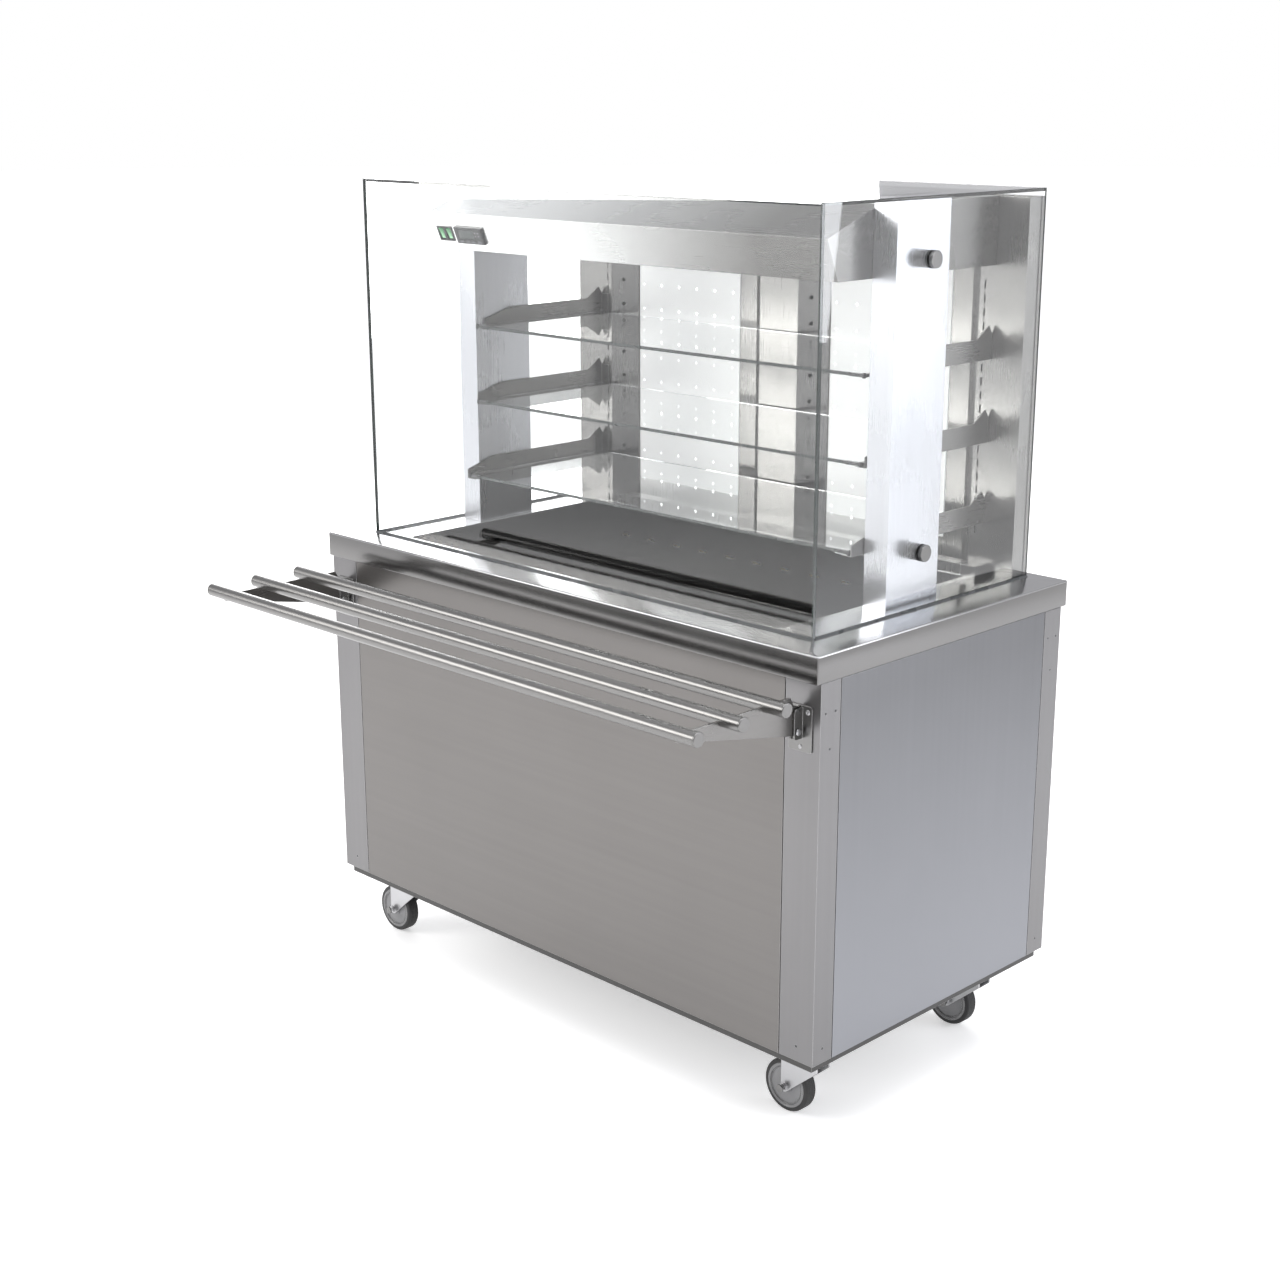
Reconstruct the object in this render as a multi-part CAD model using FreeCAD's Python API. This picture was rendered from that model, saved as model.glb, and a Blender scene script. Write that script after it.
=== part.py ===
"""Mobile chilled food holding cabinet with a glass display canopy.

All sizes are in millimetres. X runs along the customer side, Y runs from the customer side
(front) to the operator side (rear) and Z is up, with Z = 0 on the floor. Pieces are drawn with
Y = 0 on the front edge of the countertop. On export everything is moved along Y so that the
origin is below the middle of the whole object's box.
"""
import FreeCAD, Part
import math
import os

V = FreeCAD.Vector

# --- countertop and lower cabinet ---------------------------------------------------------
width = 1300.0                 # countertop, along X
depth = 710.0                  # countertop, along Y
counter_height = 895.0         # top of the countertop, above the floor
edge_height = 48.0             # folded edge of the countertop
top_sheet = 2.0                # countertop sheet
lip_width = 14.0               # lip turned in under the edge
mitre_reach = 1.2              # mitres run past the well's corners by this share
panel_sheet = 1.5              # panels and corner posts
body_inset_front = 9.5         # countertop overhang in front
body_inset_rear = 17.0         # countertop overhang behind
post_face_x = 75.0             # corner post, width on the front
post_face_y = 50.0             # corner post, width on the side
post_return = 14.0             # flange turned in behind the panels
panel_gap = 2.0                # open joint between a post and a panel
panel_return = 12.0            # depth of the panels' folded edges
base_height = 17.0             # height of the base tray
base_inset = 10.0              # base tray, inside the body's faces
base_sheet = 2.0
castor_channel = 140.0         # closed channel that carries the castors
fixing_hole_r = 2.5            # plain holes in the corner posts
fixing_rise = 63.0             # upper pair of holes above the single hole
fixing_pair = 25.0             # spacing of the upper pair
fixing_drop = 52.0             # upper pair below the countertop edge
fixing_foot = 27.0             # lowest hole above the body's lower edge

# --- castors ------------------------------------------------------------------------------
wheel_r = 50.0
wheel_width = 26.0
tyre_wall = 8.5
tyre_shoulder = 5.0
castor_height = 150.0          # floor to mounting face
castor_trail = 43.0            # axle behind the swivel axis
castor_end_inset = 90.0        # swivel axis inside the body's ends
castor_inset = 101.0           # swivel axis inside the body's front and rear
castor_plate_x = 105.0
castor_plate_y = 85.0
castor_plate_t = 3.0
castor_bolt_r = 4.5
castor_bolt_x = 80.0
castor_bolt_y = 60.0
kingpin_r = 6.0
swivel_r = 32.0
swivel_gap = 0.5               # between the fixed plate and the turning head
fork_sheet = 3.0
fork_web_z = 134.0
fork_ear_r = 10.0
fork_edge = 7.0                # cheek in front of the axle
fork_slope_z = 102.0           # where the cheek's slanted edge starts
axle_r = 4.0
axle_head_r = 7.0
axle_head_t = 4.0
hub_r = 11.0
rim_lip = 5.0
running_gap = 0.05             # radial clearance of a turning fit
side_gap = 1.0                 # axial clearance beside a hub

# --- cold well ----------------------------------------------------------------------------
well_width = 986.0
well_front = 90.0
well_rear = 605.0
well_depth = 150.0
well_sheet = 1.5
well_corner_r = 12.0
well_cove_r = 25.0
well_flange = 15.0
slot_pitch = 75.5              # air slots in the well's rear wall
slot_count = 11
slot_offset = -18.0            # middle of the row of slots
slot_width = 20.0
slot_height = 4.0
slot_drop = 63.0               # slots below the countertop
foam_wall = 38.0
foam_gap = 0.4
foam_joint = 0.3               # open joint between two boards
foam_rear = 15.0               # thinner board in front of the air duct
foam_window = 3.0              # margin of the board's windows round the air slots
foam_rim_drop = 12.0
drain_x = -330.0
drain_r = 14.0
drain_length = 190.0
drain_bore_r = 11.0
drain_pipe_wall = 5.0
valve_rise = 55.0              # valve above the pipe's end
valve_r = 19.0
valve_half = 24.0
stem_r = 7.0
stem_reach = 30.0
lever_hub_r = 11.0
lever_hub_t = 7.6
lever_gap = 0.4
lever_t = 4.0
lever_half = 9.0
lever_length = 80.0

# --- cooling unit -------------------------------------------------------------------------
vent_w = 150.0                 # slots of the rear service panel
vent_h = 5.0
vent_pitch = 18.0
vent_rows = 14
vent_banks = (-200.0, 0.0, 200.0)
vent_rise = 70.0
compressor_x = -260.0
compressor_r = 78.0
compressor_h = 190.0
compressor_neck = 0.7          # neck's share of the can's radius
compressor_round = 0.45        # rounding's share of the can's radius
compressor_foot_x = 190.0
compressor_foot_y = 120.0
compressor_foot_t = 6.0
compressor_lift = 18.0         # can above the base tray
terminal_reach = 24.0          # terminal box beyond the can
terminal_y = 56.0
terminal_z = (70.0, 130.0)
condenser_x = 60.0
condenser_t = 55.0
condenser_w = 300.0
condenser_h = 270.0
condenser_foot = 12.0
condenser_back = 10.0          # solid back behind the grooves
groove_pitch = 15.0
groove_share = 0.55
groove_margin = 8.0
shroud_depth = 60.0
shroud_sheet = 1.5
motor_r = 34.0
motor_depth = 24.0
shaft_r = 4.0
shaft_length = 50.0
fan_r = 115.0
fan_hub_r = 30.0
fan_blades = 5
fan_gap = 6.0                  # blade tips to the shroud's ring
fan_behind = 28.0              # fan in front of the condenser's core
fan_depth = 24.0
fan_pitch_angle = 28.0
blade_chord = 22.0
blade_t = 3.0
evaporator_w = 820.0
evaporator_t = 42.0
evaporator_h = 96.0
evaporator_gap = 6.0           # behind the well's flange
evaporator_drop = 8.0          # below the countertop sheet
fin_pitch = 20.0
fin_t = 2.0
coil_rows = 3
coil_r = 6.0
coil_reach = 10.0              # coil beyond the fins

# --- glass canopy -------------------------------------------------------------------------
glass_t = 6.0
glass_inset_x = 70.0
glass_inset_front = 68.5
glass_inset_rear = 30.0
glass_rise = 703.0             # top of the glass above the countertop
glass_joint = 0.3              # glue line between panes
mid_post_face = 50.0           # width of the broad posts, along X
mid_post_depth = 144.0
mid_post_front = 287.0
mid_post_gap = 18.0            # post to side pane, bridged by the standoffs
mid_post_wall = 2.0
standoff_r = 15.0
standoff_stud_r = 5.0
standoff_cap_t = 8.0
standoff_low = 99.0            # lower standoffs above the countertop
standoff_high = 104.0          # upper standoffs below the top of the glass
glass_hole_gap = 2.0           # radial gap round a standoff's stud

# --- hood ---------------------------------------------------------------------------------
hood_bottom_drop = 136.0       # hood's underside below the top of the glass
hood_nose_y = 169.5            # upper front edge
hood_chin_y = 198.5            # lower front edge
hood_nose_drop = 64.5
hood_slope_y = 300.0
hood_top_drop = 15.0
hood_wall = 1.5
hood_window_margin = 34.0
hood_end_gap = 0.5
lamp_t = 6.0
switch_w = 21.0
switch_h = 30.0
switch_pitch = 22.0
switch_edge = 14.5             # first switch from the hood's left end
controller_w = 80.0
controller_h = 34.0
controller_t = 6.0
controller_gap = 12.5
control_drop = 44.0            # control row below the hood's nose, along the face

# --- rear wall ----------------------------------------------------------------------------
upright_face = 98.5            # front face of a side upright
centre_face = 99.0             # front face of the middle upright
upright_depth = 39.0           # front face to the plane of the rear wall
upright_sheet = 2.0
upright_side_gap = 2.5         # upright to the side pane
flank_run = 43.0               # slanted flank, along X
wall_inset = 31.0              # plane of the rear wall inside the countertop
wall_gap = 0.3                 # uprights to the door frame
bracket_slot_w = 3.5
bracket_slot_h = 14.5
bracket_slot_pitch = 25.0
bracket_slot_rise = 81.5       # lowest slot's middle above the countertop
bracket_slot_edge = 11.0       # slots from the upright's inner edge
air_hole_pitch = 51.0
air_hole_r = 4.0
air_hole_rise = 68.5           # lowest hole above the countertop
air_hole_place = 0.45          # holes' place across the flank
door_t = 12.0
door_gap = 1.5
jamb_w = 46.0
door_rim = 10.0                # folded rim round a door's sheet
door_sheet = 2.0
door_top_lap = 20.0            # doors reach above the hood's underside
door_sheet_hole_r = 3.0
door_hole_columns = 6
door_hole_rise = 60.0          # lowest row above the countertop
door_hole_edge = 16.5          # first column from the hinge edge
door_sill = 44.0
door_pin_r = 4.0
door_pin_inset = 7.0           # pivot from the hinge edge
door_pin_back = 5.0            # pivot from the door's outer face
door_pin_reach = 8.0           # pins into the frame
pull_t = 4.0
pull_reach = 12.0
pull_half = 60.0
ledge_h = 20.0
ledge_half = 512.0
ledge_sheet = 1.5
ledge_inset = 3.0              # ledge behind the well's edge
ledge_gap = 1.0                # ledge to the uprights

# --- shelves ------------------------------------------------------------------------------
tier_rises = (405.0, 253.0, 102.5)     # middle of each shelf above the countertop
tier_names = ("upper", "middle", "lower")
shelf_fronts = (284.0, 282.0, 256.0)   # front edge of each shelf
bracket_fronts = (310.0, 285.0, 254.0) # front end of each tier's brackets
shelf_t = 6.0
shelf_rear_gap = 8.0
shelf_side_gap = 2.5
bracket_t = 2.0
bracket_side_gap = 2.0         # blade to the broad post
bracket_rear_gap = 1.0         # rear tab to the upright
bracket_bar = 39.0             # height of the blade along its middle
bracket_tip = 19.0             # height at the front end
bracket_chamfer = 69.0         # run of the front slope
bracket_slope = 43.0           # rear slope starts this far from the rear end
bracket_peak = 61.0            # height at the rear peak
bracket_peak_back = 9.0        # peak from the rear end
bracket_rear = 47.0            # height at the rear end
bracket_flange = 20.0
hook_h = 9.0
hook_reach = 6.0               # hook behind the upright's face sheet
hook_margin = 7.0              # lowest hook's middle above the bracket's lower edge
pad_r = 5.0
pad_t = 1.0
pad_front = 16.0               # front pads behind the bracket's front end
pad_rear = 60.0                # rear pads in front of the uprights

# --- tray slide ---------------------------------------------------------------------------
tube_r = 12.5
tube_overhang = 3.5            # tube ends beyond the countertop
tube_drop = 71.0               # tubes' centres below the countertop
tube_first_y = -77.0
tube_pitch = 101.5
tube_count = 3
tube_wall = 1.5
tube_cap_t = 3.0
arm_x = 608.0                  # middle of an arm
arm_t = 5.0
arm_tip = 13.0                 # arm height at its free end
arm_root = 65.0                # arm height at its root
arm_seat = 11.0                # depth that a tube sits in its cradle
arm_toe = 2.0                  # arm beyond the outermost tube's centre
arm_gap = 16.0                 # arm's shoulder in front of the pin
cheek_t = 3.0
cheek_front = 20.0             # cheeks in front of the plate
cheek_above = 40.0             # cheeks above and below the pin
cheek_below = 13.0
hinge_plate_t = 2.5
hinge_plate_in = 24.0          # plate inside and outside of the arm's middle
hinge_plate_out = 26.0
hinge_plate_above = 43.0       # plate above and below the pin
hinge_plate_below = 36.0
hinge_pin_r = 4.0
hinge_y = -4.0
hinge_drop = 62.0              # pin below the tubes' centres
arm_side_gap = 0.6

# --- places worked out from the sizes -----------------------------------------------------
half = width / 2
edge_z = counter_height - edge_height
body_front = body_inset_front
body_rear = depth - body_inset_rear
body_bottom = castor_height + base_height
castor_x = half - castor_end_inset
castor_front_y = body_front + castor_inset
castor_rear_y = body_rear - castor_inset
well_half = well_width / 2
well_floor = counter_height - well_depth
well_middle = (well_front + well_rear) / 2
body_middle = (body_front + body_rear) / 2
drain_top = well_floor - well_sheet
drain_end = drain_top - drain_length
valve_z = drain_end + valve_rise
fan_z = body_bottom + (condenser_h + condenser_foot) / 2
glass_top = counter_height + glass_rise
hood_bottom = glass_top - hood_bottom_drop
hood_nose_z = glass_top - hood_nose_drop
hood_top = glass_top - hood_top_drop
standoff_heights = (counter_height + standoff_low, glass_top - standoff_high)
glass_x = half - glass_inset_x
glass_rear = depth - glass_inset_rear
glass_in_x = glass_x - glass_t
glass_in_front = glass_inset_front + glass_t
mid_post_out = glass_in_x - mid_post_gap
mid_post_in = mid_post_out - mid_post_face
mid_post_y = mid_post_front + mid_post_depth / 2
hood_half = mid_post_in - hood_end_gap
wall_y = depth - wall_inset
upright_front = wall_y - upright_depth
upright_out = glass_in_x - upright_side_gap
upright_in = upright_out - upright_face
slot_x = upright_in + bracket_slot_edge
bay_half = (upright_in - flank_run - centre_face / 2 - flank_run) / 2
bay_centre = centre_face / 2 + flank_run + bay_half
door_w = 2 * bay_half - jamb_w
door_front = wall_y + wall_gap
door_top = hood_bottom + door_top_lap
bracket_out = mid_post_in - bracket_side_gap
bracket_in = bracket_out - bracket_t
bracket_end = upright_front - bracket_rear_gap
slot_first = counter_height + bracket_slot_rise
tier_heights = [counter_height + rise for rise in tier_rises]
tube_z = counter_height - tube_drop
tube_last_y = tube_first_y - tube_pitch * (tube_count - 1)
tube_half = half + tube_overhang
hinge_z = tube_z - hinge_drop
front_reach = tube_last_y - tube_r
y_middle = (depth + front_reach) / 2

OUT_DIR = "parts"
made = []


def save(name, shape):
    """Write one sub-part as STEP, with the origin moved below the middle of the object."""
    placed = shape.copy()
    placed.translate(V(0, -y_middle, 0))
    placed.exportStep(OUT_DIR + "/" + name + ".step")
    made.append(name)


def box(x0, x1, y0, y1, z0, z1):
    """A box between two corners."""
    return Part.makeBox(x1 - x0, y1 - y0, z1 - z0, V(x0, y0, z0))


def cyl_x(x0, x1, y, z, r):
    """A cylinder along X."""
    return Part.makeCylinder(r, x1 - x0, V(x0, y, z), V(1, 0, 0))


def cyl_y(x, y0, y1, z, r):
    """A cylinder along Y."""
    return Part.makeCylinder(r, y1 - y0, V(x, y0, z), V(0, 1, 0))


def cyl_z(x, y, z0, z1, r):
    """A cylinder along Z."""
    return Part.makeCylinder(r, z1 - z0, V(x, y, z0), V(0, 0, 1))


def prism_x(points, x0, x1):
    """Extrude a closed outline of (y, z) points along X."""
    loop = [V(x0, y, z) for y, z in points]
    face = Part.Face(Part.makePolygon(loop + [loop[0]]))
    return face.extrude(V(x1 - x0, 0, 0))


def prism_y(points, y0, y1):
    """Extrude a closed outline of (x, z) points along Y."""
    loop = [V(x, y0, z) for x, z in points]
    face = Part.Face(Part.makePolygon(loop + [loop[0]]))
    return face.extrude(V(0, y1 - y0, 0))


def prism_z(points, z0, z1):
    """Extrude a closed outline of (x, y) points along Z."""
    loop = [V(x, y, z0) for x, y in points]
    face = Part.Face(Part.makePolygon(loop + [loop[0]]))
    return face.extrude(V(0, 0, z1 - z0))


def mirror_x(shape):
    """The same piece on the other side of the middle plane."""
    return shape.mirror(V(0, 0, 0), V(1, 0, 0))


def group(shapes):
    """Several separate solids in one node."""
    return Part.makeCompound(shapes)


def fuse(shapes):
    """One solid from several that touch or overlap."""
    return shapes[0].multiFuse(shapes[1:]).removeSplitter()


def cut(shape, tools):
    """Take every tool out of a shape."""
    return shape.cut(group(tools)) if tools else shape


# ------------------------------------------------------------------------------------------
# Lower cabinet
# ------------------------------------------------------------------------------------------

def make_base_tray():
    """Folded tray under the body, closed into channels where the castors bolt on."""
    x1 = half - base_inset
    y0 = body_front + base_inset
    y1 = body_rear - base_inset
    top = body_bottom
    tray = box(-x1, x1, y0, y1, castor_height, top)
    inner_x = x1 - castor_channel
    pocket = box(-inner_x, inner_x, y0 + base_sheet, y1 - base_sheet, castor_height - 1, top - base_sheet)
    tools = [pocket]
    for side in (-1, 1):
        xa = side * (inner_x - 1)
        xb = side * (x1 - base_sheet)
        tools.append(box(min(xa, xb), max(xa, xb), y0 + base_sheet, y1 - base_sheet,
                         castor_height + base_sheet, top - base_sheet))
    for x, y in castor_places():
        for dx in (-castor_bolt_x / 2, castor_bolt_x / 2):
            for dy in (-castor_bolt_y / 2, castor_bolt_y / 2):
                tools.append(cyl_z(x + dx, y + dy, castor_height - 1, castor_height + base_sheet + 1,
                                   castor_bolt_r))
    return cut(tray, tools)


def corner_post(front, right):
    """Folded corner post with returns behind the panels and four fixing holes in its side."""
    t = panel_sheet
    w = post_face_x
    d = post_face_y
    r = post_return
    outline = [(0, 0), (w, 0), (w, r), (w - t, r), (w - t, t), (t, t), (t, d - t), (r, d - t), (r, d), (0, d)]
    post = prism_z(outline, body_bottom, edge_z)
    upper = edge_z - fixing_drop
    lower = upper - fixing_rise
    foot = body_bottom + fixing_foot
    places = [(d / 2 - fixing_pair / 2, upper), (d / 2 + fixing_pair / 2, upper), (d / 2, lower), (d / 2, foot)]
    tools = [cyl_x(-1, t + 1, y, z, fixing_hole_r) for y, z in places]
    tools.append(cyl_y(w / 2, -1, t + 1, foot, fixing_hole_r))
    post = cut(post, tools)
    if not front:
        post = post.mirror(V(0, 0, 0), V(0, 1, 0))
    post.translate(V(-half, body_front if front else body_rear, 0))
    return mirror_x(post) if right else post


def folded_panel_y(x0, x1, z0, z1, y_face, inward):
    """Flat panel across X with folded edges that point into the cabinet."""
    t = panel_sheet
    y_in = y_face + inward * panel_return
    outer = box(x0, x1, min(y_face, y_in), max(y_face, y_in), z0, z1)
    y_a = y_face + inward * t
    y_b = y_in + inward
    inner = box(x0 + t, x1 - t, min(y_a, y_b), max(y_a, y_b), z0 + t, z1 - t)
    return outer.cut(inner)


def make_front_panel():
    """Closed panel on the customer side."""
    x1 = half - post_face_x - panel_gap
    return folded_panel_y(-x1, x1, body_bottom, edge_z, body_front, 1)


def make_side_panel():
    """Closed panel on the left side."""
    t = panel_sheet
    y0 = body_front + post_face_y + panel_gap
    y1 = body_rear - post_face_y - panel_gap
    outer = box(-half, -half + panel_return, y0, y1, body_bottom, edge_z)
    inner = box(-half + t, -half + panel_return + 1, y0 + t, y1 - t, body_bottom + t, edge_z - t)
    return outer.cut(inner)


def make_rear_panel():
    """Service panel on the operator side, with two banks of ventilation slots."""
    x1 = half - post_face_x - panel_gap
    panel = folded_panel_y(-x1, x1, body_bottom, edge_z, body_rear, -1)
    tools = []
    for x in vent_banks:
        for row in range(vent_rows):
            z = body_bottom + vent_rise + row * vent_pitch
            tools.append(box(x - vent_w / 2, x + vent_w / 2, body_rear - panel_sheet - 1, body_rear + 1,
                             z, z + vent_h))
    return cut(panel, tools)


def mitre(x, y):
    """Inner end of a mitre that starts in a corner of the countertop and passes the well's corner."""
    corner_y = well_front if y == 0 else well_rear
    corner_x = math.copysign(well_half, x)
    return x + (corner_x - x) * mitre_reach, y + (corner_y - y) * mitre_reach


def make_countertop():
    """Folded countertop round the well: four rails with turned-in lips, mitred at the corners."""
    t = top_sheet
    top = box(-half, half, 0, depth, edge_z, counter_height)
    inner = box(-half + t, half - t, t, depth - t, edge_z + t, counter_height - t)
    mouth = box(-half + lip_width, half - lip_width, lip_width, depth - lip_width, edge_z - 1, edge_z + t + 1)
    opening = rounded_box(well_half, well_front, well_rear, counter_height - t - 1, counter_height + 1,
                          well_corner_r)
    ring = cut(top, [inner, mouth, opening])
    outer = [(-half, 0), (half, 0), (half, depth), (-half, depth)]
    rails = []
    for a, b in zip(outer, outer[1:] + outer[:1]):
        rails.append(ring.common(prism_z([a, b, mitre(*b), mitre(*a)], edge_z - 1, counter_height + 1)))
    return group(rails)


def rounded_box(half_x, y0, y1, z0, z1, r):
    """A box about the middle plane with rounded upright corners."""
    block = box(-half_x, half_x, y0, y1, z0, z1)
    upright = [e for e in block.Edges if abs(e.Vertexes[0].Z - e.Vertexes[1].Z) > (z1 - z0) / 2]
    return block.makeFillet(r, upright)


def well_block(grow, top):
    """The well's inside, grown outwards by a wall, with a cove round its floor."""
    r = well_corner_r + grow
    cove = well_cove_r + grow
    block = rounded_box(well_half + grow, well_front - grow, well_rear + grow, well_floor - grow, top, r)
    floor_z = well_floor - grow
    low = [e for e in block.Edges if all(abs(v.Z - floor_z) < 1e-6 for v in e.Vertexes)]
    return block.makeFillet(min(cove, r * 0.98), low)


def make_well_tub():
    """Seamless well with a flange under the countertop, air slots behind and a drain hole."""
    t = well_sheet
    top = counter_height - top_sheet
    shell = well_block(t, top)
    flange = rounded_box(well_half + t + well_flange, well_front - t - well_flange,
                         well_rear + t + well_flange, top - t, top, well_corner_r + t + well_flange)
    shell = shell.fuse(flange)
    tools = [well_block(0, top + 5)]
    tools += air_slots(well_rear - 2, well_rear + t + 2, 0)
    tools.append(cyl_z(drain_x, well_middle, well_floor - t - 1, well_floor + 1, drain_bore_r))
    return cut(shell, tools)


def air_slots(y0, y1, margin):
    """Row of air slots behind the well, grown by a margin."""
    z = counter_height - slot_drop
    w = slot_width / 2 + margin
    h = slot_height / 2 + margin
    middles = [slot_offset + (i - (slot_count - 1) / 2) * slot_pitch for i in range(slot_count)]
    return [box(x - w, x + w, y0, y1, z - h, z + h) for x in middles]


def make_well_insulation():
    """Foam boards below and round the well; the rear board has a window at each air slot."""
    w = well_half + well_sheet + foam_gap
    y0 = well_front - well_sheet - foam_gap
    y1 = well_rear + well_sheet + foam_gap
    z1 = counter_height - top_sheet - well_sheet - foam_rim_drop
    z_floor = well_floor - well_sheet - foam_gap
    z0 = z_floor - foam_wall
    y_end = y1 + foam_rear
    pipe = cyl_z(drain_x, well_middle, z0 - 1, z_floor + 1, drain_r + foam_gap)
    floor = box(-w - foam_wall, w + foam_wall, y0 - foam_wall, y_end, z0, z_floor).cut(pipe)
    z_wall = z_floor + foam_joint
    front = box(-w - foam_wall, w + foam_wall, y0 - foam_wall, y0, z_wall, z1)
    left = box(-w - foam_wall, -w, y0 + foam_joint, y_end, z_wall, z1)
    rear = box(-w + foam_joint, w - foam_joint, y1, y_end, z_wall, z1)
    rear = cut(rear, air_slots(y1 - 1, y_end + 1, foam_window))
    return group([floor, front, left, mirror_x(left), rear])


def make_drain_valve():
    """Drain pipe under the well with a ball valve."""
    y = well_middle
    pipe = cyl_z(drain_x, y, drain_end, drain_top, drain_r)
    valve = cyl_x(drain_x - valve_half, drain_x + valve_half, y, valve_z, valve_r)
    stem = cyl_y(drain_x, y - stem_reach, y, valve_z, stem_r)
    body = fuse([pipe, valve, stem])
    return body.cut(cyl_z(drain_x, y, drain_end - 1, drain_top + 1, drain_r - drain_pipe_wall))


def make_drain_lever():
    """Quarter-turn lever of the drain valve."""
    y1 = well_middle - stem_reach - lever_gap
    y0 = y1 - lever_hub_t
    z = valve_z
    hub = cyl_y(drain_x, y0, y1, z, lever_hub_r)
    bar = box(drain_x - lever_half, drain_x + lever_half, y0, y0 + lever_t, z - lever_length, z)
    end = cyl_y(drain_x, y0, y0 + lever_t, z - lever_length, lever_half)
    return fuse([hub, bar, end])


def make_evaporator():
    """Finned cooling coil in the duct behind the well."""
    y0 = well_rear + well_sheet + well_flange + evaporator_gap
    z1 = counter_height - top_sheet - evaporator_drop
    z0 = z1 - evaporator_h
    w = evaporator_w / 2
    fins = []
    count = int(evaporator_w / fin_pitch)
    for i in range(count + 1):
        x = -w + i * (evaporator_w - fin_t) / count
        fins.append(box(x, x + fin_t, y0, y0 + evaporator_t, z0, z1))
    tubes = []
    for i in range(coil_rows):
        z = z0 + evaporator_h * (i + 0.5) / coil_rows
        tubes.append(cyl_x(-w - coil_reach, w + coil_reach, y0 + evaporator_t / 2, z, coil_r))
    return fuse(tubes[:1] + fins + tubes[1:])


def make_compressor():
    """Hermetic compressor on its feet."""
    x = compressor_x
    y = body_middle
    z = body_bottom
    foot = box(x - compressor_foot_x / 2, x + compressor_foot_x / 2, y - compressor_foot_y / 2,
               y + compressor_foot_y / 2, z, z + compressor_foot_t)
    neck = cyl_z(x, y, z + compressor_foot_t - 1, z + compressor_lift + 2, compressor_r * compressor_neck)
    can = cyl_z(x, y, z + compressor_lift, z + compressor_h, compressor_r)
    can = can.makeFillet(compressor_r * compressor_round, [e for e in can.Edges if e.Closed])
    low, high = terminal_z
    terminals = box(x, x + compressor_r + terminal_reach, y - terminal_y / 2, y + terminal_y / 2,
                    z + low, z + high)
    return fuse([foot, neck, can, terminals])


def make_condenser():
    """Finned condenser with its fan shroud and motor, standing on the base tray."""
    y = body_middle
    y0 = y - condenser_w / 2
    y1 = y + condenser_w / 2
    z0 = body_bottom
    z1 = z0 + condenser_h
    x0 = condenser_x
    x1 = x0 + condenser_t
    core = box(x0, x1, y0, y1, z0, z1)
    grooves = []
    for i in range(int(condenser_w / groove_pitch) - 1):
        yy = y0 + (i + 1) * groove_pitch
        grooves.append(box(x0 + condenser_back, x1 + 1, yy, yy + groove_pitch * groove_share,
                           z0 + condenser_foot + groove_margin, z1 - groove_margin))
    core = cut(core, grooves)
    t = shroud_sheet
    ring_x = x0 - shroud_depth
    shroud = box(ring_x, x0, y0, y1, z0, z1)
    shroud = shroud.cut(box(ring_x + t, x0 + 1, y0 + t, y1 - t, z0 + t, z1 - t))
    shroud = shroud.cut(cyl_x(ring_x - 1, ring_x + 2 * t, y, fan_z, fan_r + fan_gap))
    motor = cyl_x(x0 - motor_depth, x0 + 1, y, fan_z, motor_r)
    shaft = cyl_x(x0 - shaft_length, x0 - motor_depth + 1, y, fan_z, shaft_r)
    return fuse([core, shroud, motor, shaft])


def make_condenser_fan():
    """Axial fan wheel on the motor's shaft."""
    x1 = condenser_x - fan_behind
    x0 = x1 - fan_depth
    hub = cyl_x(x0, x1, body_middle, fan_z, fan_hub_r)
    blades = []
    for i in range(fan_blades):
        blade = box(-blade_t / 2, blade_t / 2, -blade_chord, blade_chord, fan_hub_r * 0.8, fan_r)
        blade.rotate(V(0, 0, 0), V(0, 0, 1), fan_pitch_angle)
        blade.rotate(V(0, 0, 0), V(1, 0, 0), i * 360 / fan_blades)
        blade.translate(V((x0 + x1) / 2, body_middle, fan_z))
        blades.append(blade)
    fan = fuse([hub] + blades)
    return fan.cut(cyl_x(x0 - 1, x1 + 1, body_middle, fan_z, shaft_r + running_gap))


# ------------------------------------------------------------------------------------------
# Castors
# ------------------------------------------------------------------------------------------

def castor_places():
    """Swivel axes of the four castors."""
    return [(x, y) for y in (castor_front_y, castor_rear_y) for x in (-castor_x, castor_x)]


def make_castor_plate(x, y):
    """Fixed top plate with the kingpin and its retaining head."""
    z1 = castor_height
    z0 = z1 - castor_plate_t
    plate = box(x - castor_plate_x / 2, x + castor_plate_x / 2, y - castor_plate_y / 2,
                y + castor_plate_y / 2, z0, z1)
    holes = [cyl_z(x + dx, y + dy, z0 - 1, z1 + 1, castor_bolt_r)
             for dx in (-castor_bolt_x / 2, castor_bolt_x / 2)
             for dy in (-castor_bolt_y / 2, castor_bolt_y / 2)]
    plate = cut(plate, holes)
    head_z = fork_web_z - swivel_gap
    pin = cyl_z(x, y, head_z - 6, z0 + 1, kingpin_r)
    head = cyl_z(x, y, head_z - 7, head_z, kingpin_r * 2)
    return fuse([plate, pin, head])


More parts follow.
